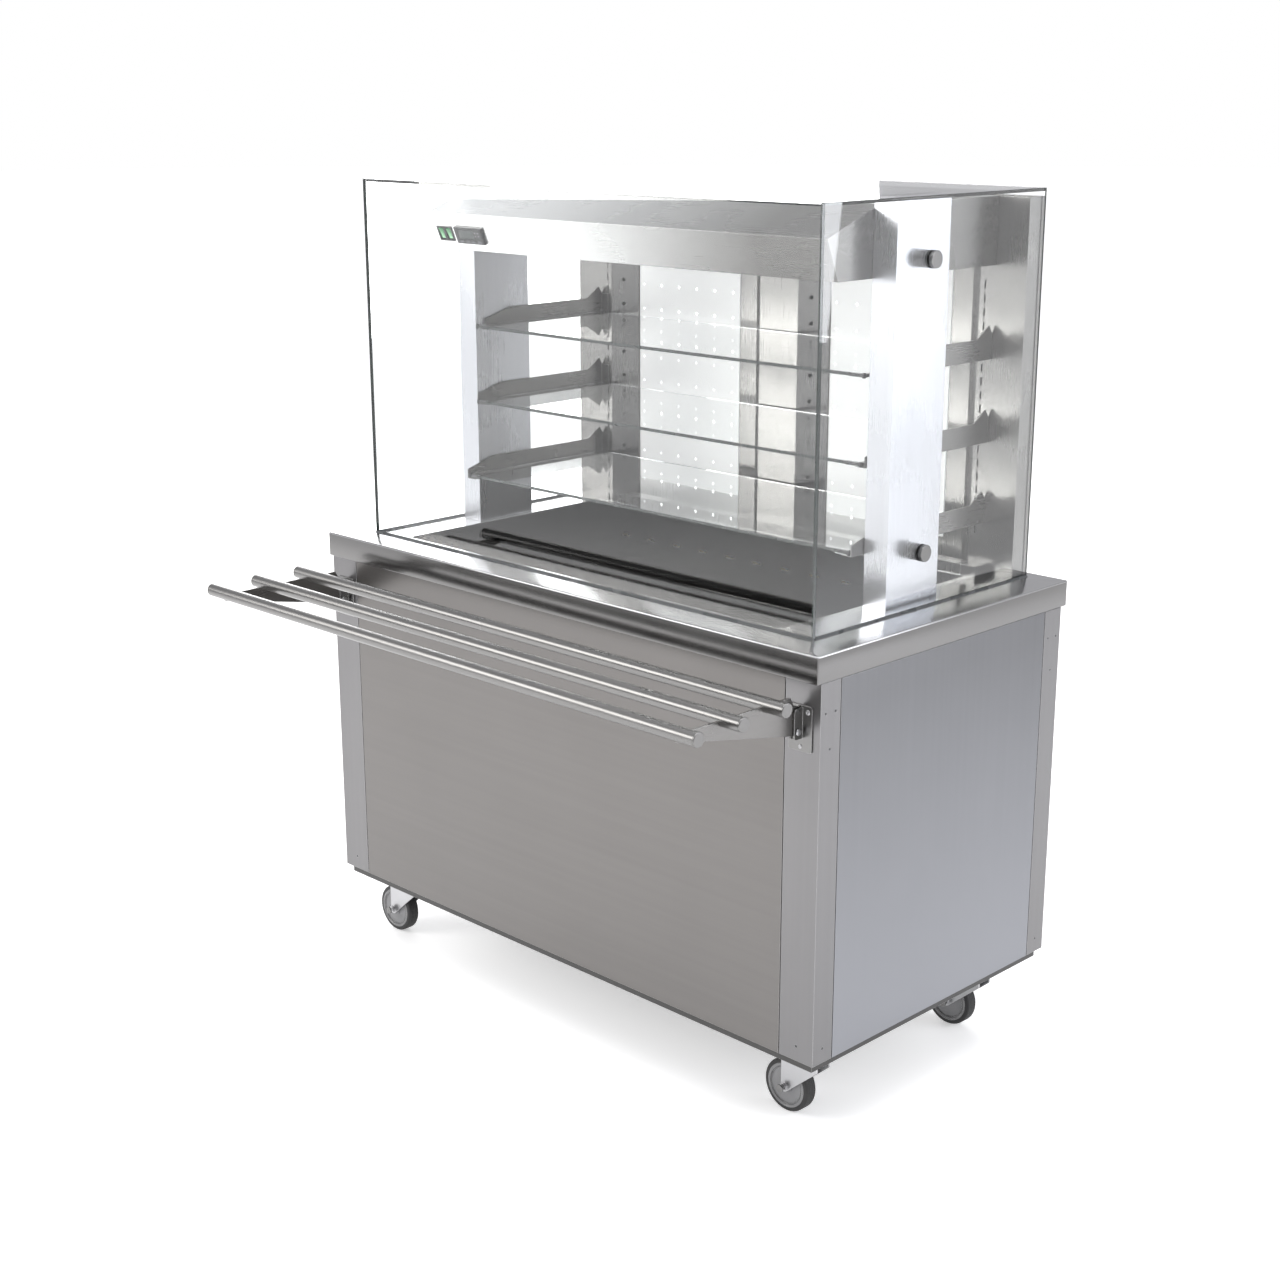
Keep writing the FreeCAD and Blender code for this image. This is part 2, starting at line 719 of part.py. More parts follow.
def make_castor_fork(x, y):
    """Pressed fork with its swivel head and axle bolt."""
    ax = x - castor_trail
    r = fork_ear_r
    web_top = fork_web_z + fork_sheet
    inner = wheel_width / 2 + 1.5 + side_gap
    outer = inner + fork_sheet
    s = r * math.sqrt(0.5)
    reach = x + swivel_r
    foot_x = ax + s
    foot_z = wheel_r - s
    cheek = [(ax - fork_edge, wheel_r), (ax - fork_edge, web_top), (reach, web_top), (reach, fork_slope_z),
             (foot_x, foot_z), (ax, wheel_r)]
    pieces = []
    for y0 in (y - outer, y + inner):
        ear = cyl_y(ax, y0, y0 + fork_sheet, wheel_r, r)
        ear = ear.common(box(ax - fork_edge, ax + r, y0, y0 + fork_sheet, wheel_r - r, wheel_r + r))
        pieces.append(prism_y(cheek, y0, y0 + fork_sheet).fuse(ear))
    pieces.append(box(ax - fork_edge, reach, y - outer, y + outer, fork_web_z, web_top))
    pieces.append(cyl_z(x, y, web_top - 0.5, castor_height - castor_plate_t - swivel_gap, swivel_r))
    fork = fuse(pieces)
    fork = fork.cut(cyl_z(x, y, fork_web_z - 1, castor_height, kingpin_r + running_gap))
    bolt = cyl_y(ax, y - outer - 0.5, y + outer + 0.5, wheel_r, axle_r)
    heads = [cyl_y(ax, y - outer - axle_head_t, y - outer, wheel_r, axle_head_r),
             cyl_y(ax, y + outer, y + outer + axle_head_t, wheel_r, axle_head_r)]
    return fuse([fork, bolt] + heads)


def make_castor_wheel(x, y):
    """Disc wheel with a raised hub and a shallow dish on each side."""
    ax = x - castor_trail
    rim_r = wheel_r - tyre_wall
    face = wheel_width / 2
    rim = cyl_y(ax, y - face, y + face, wheel_r, rim_r)
    hub = cyl_y(ax, y - face - 1.5, y + face + 1.5, wheel_r, hub_r)
    dishes = []
    for y0 in (y - face - 1, y + face - 1.5):
        ring = cyl_y(ax, y0, y0 + 2.5, wheel_r, rim_r - rim_lip)
        dishes.append(ring.cut(cyl_y(ax, y0 - 1, y0 + 3.5, wheel_r, hub_r + 3)))
    wheel = cut(fuse([rim, hub]), dishes)
    return wheel.cut(cyl_y(ax, y - wheel_width, y + wheel_width, wheel_r, axle_r + running_gap))


def make_castor_tyre(x, y):
    """Tread ring with rounded shoulders."""
    ax = x - castor_trail
    ring = cyl_y(ax, y - wheel_width / 2, y + wheel_width / 2, wheel_r, wheel_r)
    ring = ring.makeFillet(tyre_shoulder, [e for e in ring.Edges if e.Closed])
    return ring.cut(cyl_y(ax, y - wheel_width, y + wheel_width, wheel_r, wheel_r - tyre_wall))


# ------------------------------------------------------------------------------------------
# Glass canopy
# ------------------------------------------------------------------------------------------

def make_glass_front():
    """Front pane, over the full width of the canopy."""
    return box(-glass_x, glass_x, glass_inset_front, glass_in_front, counter_height, glass_top)


def make_glass_side():
    """Left side pane with the holes of its two standoffs."""
    pane = box(-glass_x, -glass_in_x, glass_in_front + glass_joint, glass_rear, counter_height, glass_top)
    r = standoff_stud_r + glass_hole_gap
    return cut(pane, [cyl_x(-glass_x - 1, -glass_in_x + 1, mid_post_y, z, r) for z in standoff_heights])


def make_glass_top():
    """Top pane, lying on the broad posts between the upright panes."""
    x1 = glass_in_x - glass_joint
    return box(-x1, x1, glass_in_front + glass_joint, glass_rear, glass_top - glass_t, glass_top)


def make_mid_post():
    """Broad rectangular post on the left, closed at its top."""
    y1 = mid_post_front + mid_post_depth
    top = glass_top - glass_t
    t = mid_post_wall
    post = box(-mid_post_out, -mid_post_in, mid_post_front, y1, counter_height, top)
    inner = box(-mid_post_out + t, -mid_post_in - t, mid_post_front + t, y1 - t, counter_height - 1, top - t)
    return post.cut(inner)


def make_standoff(side, z):
    """Spacer, stud and cap that hold a side pane off its post."""
    y = mid_post_y
    spacer = cyl_x(mid_post_out, glass_in_x, y, z, standoff_r)
    stud = cyl_x(glass_in_x - 1, glass_x + 1, y, z, standoff_stud_r)
    cap = cyl_x(glass_x, glass_x + standoff_cap_t, y, z, standoff_r)
    rim = [e for e in cap.Edges if e.Closed and e.Vertexes[0].X > glass_x + 1]
    cap = cap.makeFillet(1.5, rim)
    piece = fuse([spacer, stud, cap])
    return piece if side > 0 else mirror_x(piece)


# ------------------------------------------------------------------------------------------
# Hood with lamp and controls
# ------------------------------------------------------------------------------------------

def hood_outline(inset):
    """The hood's section in (y, z), drawn in by a wall."""
    corners = [V(0, hood_chin_y, hood_bottom), V(0, hood_nose_y, hood_nose_z), V(0, hood_slope_y, hood_top),
               V(0, upright_front - 1, hood_top), V(0, upright_front - 1, hood_bottom)]
    lines = []
    for a, b in zip(corners, corners[1:] + corners[:1]):
        along = b - a
        along.normalize()
        inward = V(0, along.z, -along.y)
        lines.append((a + inward * inset, along))
    points = []
    for (p, u), (q, w) in zip(lines[-1:] + lines[:-1], lines):
        gap = q - p
        run = (gap.y * w.z - gap.z * w.y) / (u.y * w.z - u.z * w.y)
        meet = p + u * run
        points.append((meet.y, meet.z))
    return points


def face_frame():
    """Origin, up direction and outward normal of the hood's leaning front face."""
    up = V(0, hood_nose_y - hood_chin_y, hood_nose_z - hood_bottom)
    up.normalize()
    normal = V(0, -up.z, up.y)
    origin = V(0, hood_nose_y, hood_nose_z) - up * control_drop
    return origin, up, normal


def on_face(shape):
    """Turn a piece drawn on the plane Y = 0 on to the hood's front face."""
    origin, up, normal = face_frame()
    angle = math.degrees(math.atan2(up.y, up.z))
    shape = shape.copy()
    shape.rotate(V(0, 0, 0), V(1, 0, 0), -angle)
    shape.translate(origin)
    return shape


def switch_x(index):
    """Middle of a rocker switch."""
    return -hood_half + switch_edge + switch_w / 2 + index * switch_pitch


def controller_x():
    """Left edge of the temperature controller."""
    return switch_x(1) + switch_w / 2 + controller_gap


def make_hood_shell():
    """Folded hood between the broad posts, open below for its lamp."""
    outer = prism_x(hood_outline(0), -hood_half, hood_half)
    inner = prism_x(hood_outline(hood_wall), -hood_half + hood_wall, hood_half - hood_wall)
    m = hood_window_margin
    window = box(-hood_half + m, hood_half - m, hood_chin_y + m, upright_front - m, hood_bottom - 1,
                 hood_bottom + hood_wall + 1)
    tools = [inner, window]
    for i in (0, 1):
        x = switch_x(i)
        tools.append(on_face(box(x - switch_w / 2 + 1, x + switch_w / 2 - 1, -5, 10,
                                 -switch_h / 2 + 1, switch_h / 2 - 1)))
    x = controller_x()
    tools.append(on_face(box(x + 4, x + controller_w - 4, -5, 10, -controller_h / 2 + 3, controller_h / 2 - 3)))
    return cut(outer, tools)


def make_hood_lamp():
    """Lamp tray with its diffuser, fitted into the hood's window from above."""
    m = hood_window_margin - 8
    z0 = hood_bottom + hood_wall
    tray = box(-hood_half + m, hood_half - m, hood_chin_y + m, upright_front - m, z0, z0 + lamp_t)
    m += 10
    lens = box(-hood_half + m, hood_half - m, hood_chin_y + m, upright_front - m, hood_bottom + 0.2, z0 + 1)
    return fuse([tray, lens])


def make_switch_housing(index):
    """Frame of a rocker switch with its body behind the hood's face."""
    x = switch_x(index)
    w = switch_w / 2
    h = switch_h / 2
    rim = box(x - w, x + w, -2, 0, -h, h)
    barrel = box(x - w + 1.4, x + w - 1.4, -1, 18, -h + 1.4, h - 1.4)
    frame = rim.fuse(barrel)
    well = box(x - w + 2.4, x + w - 2.4, -3, 12, -h + 2.4, h - 2.4)
    return on_face(frame.cut(well))


def make_rocker(index):
    """Rocker paddle, tipped to one side, on its trunnion line."""
    x = switch_x(index)
    w = switch_w / 2 - 2.9
    h = switch_h / 2 - 3.6
    tip = 8.0
    outline = [(6.0, -h * 0.8), (-1.5, -h), (-0.2, 0), (-1.5, h), (6.0, h * 0.8)]
    paddle = prism_x(outline, x - w, x + w)
    paddle.rotate(V(x, 4.0, 0), V(1, 0, 0), tip)
    return on_face(paddle)


def make_controller():
    """Temperature controller: bezel with a recessed display and four key caps."""
    x0 = controller_x()
    x1 = x0 + controller_w
    h = controller_h / 2
    bezel = box(x0, x1, -controller_t, 0, -h, h)
    front = [e for e in bezel.Edges if all(v.Y < -controller_t + 0.1 for v in e.Vertexes)]
    bezel = bezel.makeFillet(2.0, front)
    body = box(x0 + 5, x1 - 5, -1, 32, -h + 4, h - 4)
    display = box(x0 + 10, x0 + 56, -controller_t - 1, -controller_t + 1.2, -h + 11, h - 5)
    shape = fuse([bezel, body]).cut(display)
    keys = []
    key_w = 10.0
    key_pitch = 17.0
    for i in range(4):
        kx = x0 + 12 + i * key_pitch
        keys.append(box(kx, kx + key_w, -controller_t - 0.6, -controller_t + 1, -h + 3.4, -h + 7.4))
    return on_face(fuse([shape] + keys))


# ------------------------------------------------------------------------------------------
# Rear wall
# ------------------------------------------------------------------------------------------

def upright_section(x0, x1, left_flank, right_flank):
    """Folded duct section in (x, y): a front face with slanted flanks back to the wall."""
    t = upright_sheet
    k = t * 0.7
    left = x0 - left_flank
    right = x1 + right_flank
    return [(left, wall_y), (x0, upright_front), (x1, upright_front), (right, wall_y),
            (right - 2 * t, wall_y), (x1 - k, upright_front + t), (x0 + k, upright_front + t),
            (left + 2 * t, wall_y)]


def flank_holes(x_edge, direction):
    """Round air holes down a slanted flank."""
    back = wall_y - upright_front
    run = math.hypot(flank_run, back)
    normal = V(direction * back / run, -flank_run / run, 0)
    half_drill = 3 * upright_sheet
    holes = []
    z = counter_height + air_hole_rise
    while z < hood_bottom - 15:
        middle = V(x_edge + direction * flank_run * air_hole_place, upright_front + back * air_hole_place, z)
        holes.append(Part.makeCylinder(air_hole_r, 2 * half_drill, middle - normal * half_drill, normal))
        z += air_hole_pitch
    return holes


def slot_heights():
    """Middles of the bracket slots."""
    count = int((hood_bottom - bracket_slot_h - slot_first) / bracket_slot_pitch) + 1
    return [slot_first + i * bracket_slot_pitch for i in range(count)]


def bracket_slots():
    """Slots for the shelf brackets in the left upright's face."""
    w = bracket_slot_w / 2
    h = bracket_slot_h / 2
    return [box(-slot_x - w, -slot_x + w, upright_front - 1, upright_front + upright_sheet + 1, z - h, z + h)
            for z in slot_heights()]


def make_upright_side():
    """Left upright: bracket slots in its face and air holes in its inner flank."""
    outline = upright_section(-upright_out, -upright_in, 0, flank_run)
    post = prism_z(outline, counter_height, hood_top)
    return cut(post, bracket_slots() + flank_holes(-upright_in, 1))


def make_upright_centre():
    """Middle upright with air holes in both flanks."""
    h = centre_face / 2
    post = prism_z(upright_section(-h, h, flank_run, flank_run), counter_height, hood_top)
    return cut(post, flank_holes(-h, -1) + flank_holes(h, 1))


def door_left_edge(bay):
    """Hinge edge of a rear door; bay is -1 on the left and 1 on the right."""
    return bay * bay_centre - bay_half


def door_pivot(bay):
    """Pivot axis of a rear door, near its hinge edge."""
    return door_left_edge(bay) + door_pin_inset, door_front + door_t - door_pin_back


def make_door_frame():
    """Rails and jambs round the two rear doors."""
    y0 = door_front
    y1 = y0 + door_t
    frame = box(-upright_out, upright_out, y0, y1, counter_height, hood_top)
    z0 = counter_height + door_sill
    reach = door_pin_reach + 2
    tools = []
    for bay in (-1, 1):
        x0 = door_left_edge(bay) - door_gap
        x1 = door_left_edge(bay) + door_w + door_gap
        tools.append(box(x0, x1, y0 - 1, y1 + 1, z0, door_top))
        px, py = door_pivot(bay)
        tools.append(cyl_z(px, py, z0 - reach, door_top + reach, door_pin_r + running_gap))
    return cut(frame, tools)


def make_rear_door(bay):
    """Perforated door leaf with pivot pins and a folded pull."""
    y0 = door_front
    y1 = y0 + door_t
    x0 = door_left_edge(bay)
    x1 = x0 + door_w
    z0 = counter_height + door_sill + door_gap
    z1 = door_top - door_gap
    px, py = door_pivot(bay)
    rim = door_rim
    leaf = box(x0, x1, y0, y1, z0, z1)
    leaf = leaf.cut(box(x0 + rim, x1 - rim, y0 + door_sheet, y1 + 1, z0 + rim, z1 - rim))
    heel = cyl_z(px, py, z0, z1, door_t - door_pin_back)
    corner = box(x0 - 1, px, y0 - 1, y1 + 1, z0 - 1, z1 + 1)
    leaf = leaf.cut(corner).fuse(heel.common(box(x0 - 1, px + 1, y0, y1, z0, z1)))
    holes = []
    z = counter_height + door_hole_rise
    while z < z1 - 2 * rim:
        for i in range(door_hole_columns):
            x = x0 + door_hole_edge + i * air_hole_pitch
            holes.append(cyl_y(x, y0 - 1, y0 + door_sheet + 1, z, door_sheet_hole_r))
        z += air_hole_pitch
    leaf = cut(leaf, holes)
    pins = cyl_z(px, py, z0 - door_pin_reach, z1 + door_pin_reach, door_pin_r)
    middle = (z0 + z1) / 2
    pull = box(x1 - rim, x1 - rim + pull_t, y1 - 0.5, y1 + pull_reach, middle - pull_half, middle + pull_half)
    return fuse([leaf, pins, pull])


def make_rear_ledge():
    """Low folded ledge between the well and the rear uprights."""
    y0 = well_rear + ledge_inset
    y1 = upright_front - ledge_gap
    z1 = counter_height + ledge_h
    t = ledge_sheet
    outer = box(-ledge_half, ledge_half, y0, y1, counter_height, z1)
    inner = box(-ledge_half + t, ledge_half - t, y0 + t, y1 - t, counter_height - 1, z1 - t)
    return outer.cut(inner)


# ------------------------------------------------------------------------------------------
# Shelves
# ------------------------------------------------------------------------------------------

def bracket_floor(tier):
    """Lower edge of a tier's brackets."""
    return tier - shelf_t / 2 - pad_t - bracket_t


def make_bracket(tier, front):
    """Left shelf bracket: blade, inward flange and a rear tab with hooks in the upright's slots."""
    z0 = bracket_floor(tier)
    y1 = bracket_end
    outline = [(front, z0), (y1, z0), (y1, z0 + bracket_rear), (y1 - bracket_peak_back, z0 + bracket_peak),
               (y1 - bracket_slope, z0 + bracket_bar), (front + bracket_chamfer, z0 + bracket_bar),
               (front, z0 + bracket_tip)]
    blade = prism_x(outline, -bracket_out, -bracket_in)
    flange = box(-bracket_in - 0.5, -bracket_in + bracket_flange, front, y1, z0, z0 + bracket_t)
    tab_end = -slot_x + bracket_t
    tab = box(-bracket_in - 0.5, tab_end, y1 - bracket_t, y1, z0, z0 + bracket_rear)
    pieces = [blade, flange, tab]
    low = z0 + hook_margin
    high = z0 + bracket_rear - hook_h / 2
    for z in slot_heights():
        if low <= z <= high:
            pieces.append(box(-slot_x - bracket_t / 2, -slot_x + bracket_t / 2, y1 - 0.5,
                              upright_front + upright_sheet + hook_reach, z - hook_h / 2, z + hook_h / 2))
    return fuse(pieces)


def make_shelf(tier, front):
    """Clear shelf between a tier's brackets."""
    x1 = bracket_in - shelf_side_gap
    return box(-x1, x1, front, upright_front - shelf_rear_gap, tier - shelf_t / 2, tier + shelf_t / 2)


def make_pads():
    """Clear pads between the brackets' flanges and the shelves."""
    pads = []
    x = bracket_in - bracket_flange / 2
    for tier, front in zip(tier_heights, bracket_fronts):
        z0 = tier - shelf_t / 2 - pad_t
        for sx in (-x, x):
            for y in (front + pad_front, upright_front - pad_rear):
                pads.append(cyl_z(sx, y, z0, z0 + pad_t, pad_r))
    return group(pads)


# ------------------------------------------------------------------------------------------
# Tray slide
# ------------------------------------------------------------------------------------------

def tube_places():
    """Y of the tray slide's tubes."""
    return [tube_first_y - i * tube_pitch for i in range(tube_count)]


def make_tray_tubes():
    """Round tubes with their end caps."""
    solids = []
    for y in tube_places():
        end = tube_half - tube_cap_t
        tube = cyl_x(-end, end, y, tube_z, tube_r).cut(cyl_x(-end - 1, end + 1, y, tube_z, tube_r - tube_wall))
        caps = []
        for side in (-1, 1):
            x_in = side * end
            x_out = side * tube_half
            cap = cyl_x(min(x_in, x_out), max(x_in, x_out), y, tube_z, tube_r)
            rim = [e for e in cap.Edges if e.Closed and abs(abs(e.Vertexes[0].X) - tube_half) < 0.1]
            caps.append(cap.makeFillet(1.5, rim))
        solids.append(fuse([tube] + caps))
    return group(solids)


def make_tray_arm():
    """Tapered arm on the left, with a cradle under each tube and a heel between the cheeks."""
    top = tube_z - tube_r + arm_seat
    tip_y = tube_last_y - arm_toe
    root_y = hinge_y - arm_gap
    x0 = -arm_x - arm_t / 2
    x1 = x0 + arm_t
    heel_r = cheek_below - 3
    outline = [(tip_y, top), (root_y, top), (root_y + 8, top - 14), (hinge_y + heel_r, hinge_z + cheek_above),
               (hinge_y + heel_r, hinge_z), (hinge_y, hinge_z), (hinge_y, hinge_z - heel_r),
               (root_y, top - arm_root), (tip_y, top - arm_tip)]
    arm = prism_x(outline, x0, x1).fuse(cyl_x(x0, x1, hinge_y, hinge_z, heel_r))
    tools = [cyl_x(x0 - 1, x1 + 1, y, tube_z, tube_r) for y in tube_places()]
    tools.append(cyl_x(x0 - 1, x1 + 1, hinge_y, hinge_z, hinge_pin_r + running_gap))
    return cut(arm, tools).removeSplitter()


def make_hinge_bracket():
    """Left hinge bracket: plate on the corner post, two cheeks and the pivot pin."""
    y_plate = body_front - hinge_plate_t
    y_front = y_plate - cheek_front
    z0 = hinge_z - cheek_below
    z1 = hinge_z + cheek_above
    inner = arm_t / 2 + arm_side_gap
    plate = box(-arm_x - hinge_plate_out, -arm_x + hinge_plate_in, y_plate, body_front,
                hinge_z - hinge_plate_below, hinge_z + hinge_plate_above)
    corners = [e for e in plate.Edges if abs(e.Length - hinge_plate_t) < 0.1]
    pieces = [plate.makeFillet(4.0, corners)]
    for x0 in (-arm_x - inner - cheek_t, -arm_x + inner):
        cheek = box(x0, x0 + cheek_t, y_front, y_plate + 0.5, z0, z1)
        lead = [e for e in cheek.Edges if abs(e.Length - cheek_t) < 0.1
                and all(v.Y < y_front + 0.1 for v in e.Vertexes)]
        pieces.append(cheek.makeFillet(7.0, lead))
    reach = inner + cheek_t + 2
    pieces.append(cyl_x(-arm_x - reach, -arm_x + reach, hinge_y, hinge_z, hinge_pin_r))
    return fuse(pieces)


# ------------------------------------------------------------------------------------------
# Build
# ------------------------------------------------------------------------------------------

def build():
    """Write every sub-part."""
    os.makedirs(OUT_DIR, exist_ok=True)
    save("base_tray", make_base_tray())
    save("corner_posts_front", group([corner_post(True, False), corner_post(True, True)]))
    save("corner_posts_rear", group([corner_post(False, False), corner_post(False, True)]))
    save("front_panel", make_front_panel())
    side = make_side_panel()
    save("side_panel_left", side)
    save("side_panel_right", mirror_x(side))
    save("rear_service_panel", make_rear_panel())
    save("countertop", make_countertop())
    save("well_tub", make_well_tub())
    save("well_insulation", make_well_insulation())
    save("drain_valve", make_drain_valve())
    save("drain_lever", make_drain_lever())
    save("evaporator", make_evaporator())
    save("compressor", make_compressor())
    save("condenser", make_condenser())
    save("condenser_fan", make_condenser_fan())
    save("castor_plates", group([make_castor_plate(x, y) for x, y in castor_places()]))
    names = ("front_left", "front_right", "rear_left", "rear_right")
    for name, (x, y) in zip(names, castor_places()):
        save("castor_fork_" + name, make_castor_fork(x, y))
        save("castor_wheel_" + name, make_castor_wheel(x, y))
        save("castor_tyre_" + name, make_castor_tyre(x, y))
    save("glass_front", make_glass_front())
    pane = make_glass_side()
    save("glass_side_left", pane)
    save("glass_side_right", mirror_x(pane))
    save("glass_top", make_glass_top())
    post = make_mid_post()
    save("mid_post_left", post)
    save("mid_post_right", mirror_x(post))
    save("glass_standoffs", group([make_standoff(s, z) for s in (-1, 1) for z in standoff_heights]))
    save("hood_shell", make_hood_shell())
    save("hood_lamp", make_hood_lamp())
    save("switch_housings", group([make_switch_housing(0), make_switch_housing(1)]))
    save("rocker_cooling", make_rocker(0))
    save("rocker_light", make_rocker(1))
    save("controller", make_controller())
    upright = make_upright_side()
    save("upright_left", upright)
    save("upright_right", mirror_x(upright))
    save("upright_centre", make_upright_centre())
    save("door_frame", make_door_frame())
    save("rear_door_left", make_rear_door(-1))
    save("rear_door_right", make_rear_door(1))
    save("rear_ledge", make_rear_ledge())
    for i, tier in enumerate(tier_heights):
        bracket = make_bracket(tier, bracket_fronts[i])
        save("shelf_brackets_" + tier_names[i], group([bracket, mirror_x(bracket)]))
        save("shelf_" + tier_names[i], make_shelf(tier, shelf_fronts[i]))
    save("shelf_pads", make_pads())
    arm = make_tray_arm()
    save("tray_arm_left", arm)
    save("tray_arm_right", mirror_x(arm))
    save("tray_tubes", make_tray_tubes())
    hinge = make_hinge_bracket()
    save("tray_hinge_brackets", group([hinge, mirror_x(hinge)]))
    print(len(made), "nodes; origin moved by", -y_middle)


build()
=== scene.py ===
"""Looks of a mobile chilled serving cabinet with a glass canopy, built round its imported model.

Sizes are in millimetres in the model's own frame: X runs along the customer side, Y from the
customer side to the operator side, Z up from the floor. Meshes are scaled to metres as they are
made.
"""
from __future__ import annotations

import logging
import math
from dataclasses import dataclass
from enum import Enum
from typing import Any, Iterable, Sequence

import bmesh
import bpy
import numpy as np
from mathutils import Matrix, Vector

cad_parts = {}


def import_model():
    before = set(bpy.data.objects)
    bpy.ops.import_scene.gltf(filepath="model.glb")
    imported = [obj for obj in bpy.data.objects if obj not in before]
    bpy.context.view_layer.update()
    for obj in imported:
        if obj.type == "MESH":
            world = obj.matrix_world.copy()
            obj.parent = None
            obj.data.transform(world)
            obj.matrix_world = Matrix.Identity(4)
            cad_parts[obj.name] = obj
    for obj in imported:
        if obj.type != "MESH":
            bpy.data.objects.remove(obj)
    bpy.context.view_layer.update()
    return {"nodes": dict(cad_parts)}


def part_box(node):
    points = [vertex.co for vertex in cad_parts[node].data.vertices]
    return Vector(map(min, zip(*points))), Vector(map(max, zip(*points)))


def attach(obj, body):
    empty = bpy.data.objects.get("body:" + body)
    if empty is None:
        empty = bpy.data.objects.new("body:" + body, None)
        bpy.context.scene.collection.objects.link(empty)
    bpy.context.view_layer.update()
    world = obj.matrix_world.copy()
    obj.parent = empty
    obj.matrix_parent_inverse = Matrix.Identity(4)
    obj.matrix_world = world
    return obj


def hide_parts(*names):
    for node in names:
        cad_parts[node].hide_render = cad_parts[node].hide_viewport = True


log = logging.getLogger("cabinet")
Array = np.ndarray
Point = Sequence[float]
Colour = tuple[float, float, float]

MM = 0.001
CORNERS = ("front_left", "front_right", "rear_left", "rear_right")
TIERS = ("upper", "middle", "lower")
SIDES = ("left", "right")


class Axis(Enum):
    """A direction of the frame, with the two directions square to it in right-handed order."""

    X = (0, 1, 2)
    Y = (1, 2, 0)
    Z = (2, 0, 1)


# --- surfaces ---------------------------------------------------------------------------------


def corners(node: str) -> tuple[Array, Array]:
    """Lowest and highest corner of a CAD node.

    Args:
        node: name of the node.

    Returns:
        The two corners in millimetres.
    """
    low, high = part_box(node)
    return np.array(low) / MM, np.array(high) / MM


def lathe(profile: Iterable[Point], axis: Axis, centre: Point, steps: int = 48) -> Array:
    """Surface of revolution: each (radius, along) of the profile is carried round the axis.

    Point (i, j) is centre + along_i on the axis + radius_i * (cos a_j, sin a_j) square to it.

    Args:
        profile: (radius, along) pairs; a closed form starts and ends at radius 0.
        axis: direction of the axis.
        centre: a point on the axis, where along is 0.
        steps: number of points round the axis.

    Returns:
        A grid of points, profile by angle.
    """
    shape = np.asarray(list(profile), float)
    angle = np.linspace(0, 2 * math.pi, steps, endpoint=False)
    grid = np.zeros((len(shape), steps, 3))
    along, first, second = axis.value
    grid[..., along] = shape[:, 1:2]
    grid[..., first] = shape[:, :1] * np.cos(angle)
    grid[..., second] = shape[:, :1] * np.sin(angle)
    return grid + np.asarray(centre, float)


def wire(radius: float, along: float, half_r: float, half_along: float, count: int = 13) -> list[Point]:
    """Closed elliptical profile, which a lathe carries round into a ring of wire.

    Args:
        radius: the ring's radius.
        along: its place on the axis.
        half_r: half the wire's thickness across the axis.
        half_along: half the wire's thickness along the axis.
        count: points on the profile.

    Returns:
        (radius, along) pairs.
    """
    turn = np.linspace(0, 2 * math.pi, count)
    return [(radius + half_r * math.cos(t), along + half_along * math.sin(t)) for t in turn]


def dome(radius: float, rise: float, count: int = 7) -> list[Point]:
    """Profile of a low dome: a quarter wave from its rim, where along is 0, to its crown."""
    turn = np.linspace(0, math.pi / 2, count)
    return [(radius * math.cos(t), rise * math.sin(t)) for t in turn]


def pillow(centre: Point, half: Point, power: float = 0.25, rows: int = 14, steps: int = 28) -> Array:
    """Rounded block: an ellipsoid whose sines and cosines are raised to a power below one.

    Args:
        centre: its middle.
        half: half its size along X, Y and Z.
        power: 1 gives an ellipsoid and values near 0 give a sharp block.
        rows: points from the lower pole to the upper pole.
        steps: points round.

    Returns:
        A closed grid of points, rows by steps.
    """
    up = np.linspace(-math.pi / 2, math.pi / 2, rows)[:, None]
    turn = np.linspace(0, 2 * math.pi, steps, endpoint=False)[None, :]

    def soften(value: Array) -> Array:
        """Raise the size of a value to the power and keep its sign."""
        return np.sign(value) * np.abs(value) ** power

    width = soften(np.where(np.abs(np.cos(up)) < 1e-9, 0, np.cos(up)))
    grid = np.stack([width * soften(np.cos(turn)), width * soften(np.sin(turn)),
                     soften(np.sin(up)) * np.ones_like(turn)], axis=-1)
    return grid * np.asarray(half, float) + np.asarray(centre, float)


def rail(start: Point, end: Point, section: Array) -> Array:
    """A closed section carried along a straight line, shut by a fan at each end.

    Args:
        start: first end of the line.
        end: last end of the line.
        section: (n, 3) offsets of the section's corners from the line.

    Returns:
        A grid of four rows: fan middle, section, section, fan middle.
    """
    first, last = np.asarray(start, float), np.asarray(end, float)
    middle = np.broadcast_to(section.mean(axis=0), section.shape)
    return np.stack([first + middle, first + section, last + section, last + middle])


def loop_path(low: Point, high: Point, inset: float, radius: float, z: float, steps: int = 6) -> Array:
    """Rounded rectangle at one height: four quarter arcs, joined by straight runs.

    Args:
        low: its lowest X and Y.
        high: its highest X and Y.
        inset: how far it is drawn in on every side.
        radius: corner radius before the inset.
        z: its height.
        steps: points on each arc.

    Returns:
        The points, anticlockwise from the corner at high X and high Y.
    """
    r = max(radius - inset, 0.05)
    middle = (np.asarray(low[:2], float) + np.asarray(high[:2], float)) / 2
    half = (np.asarray(high[:2], float) - np.asarray(low[:2], float)) / 2 - inset - r
    signs = np.array([[1, 1], [-1, 1], [-1, -1], [1, -1]])[:, None, :]
    start = np.arange(4)[:, None] * math.pi / 2
    angle = start + np.linspace(0, math.pi / 2, steps)[None, :]
    flat = middle + signs * half + r * np.stack([np.cos(angle), np.sin(angle)], axis=-1)
    return np.concatenate([flat.reshape(-1, 2), np.full((4 * steps, 1), z)], axis=1)


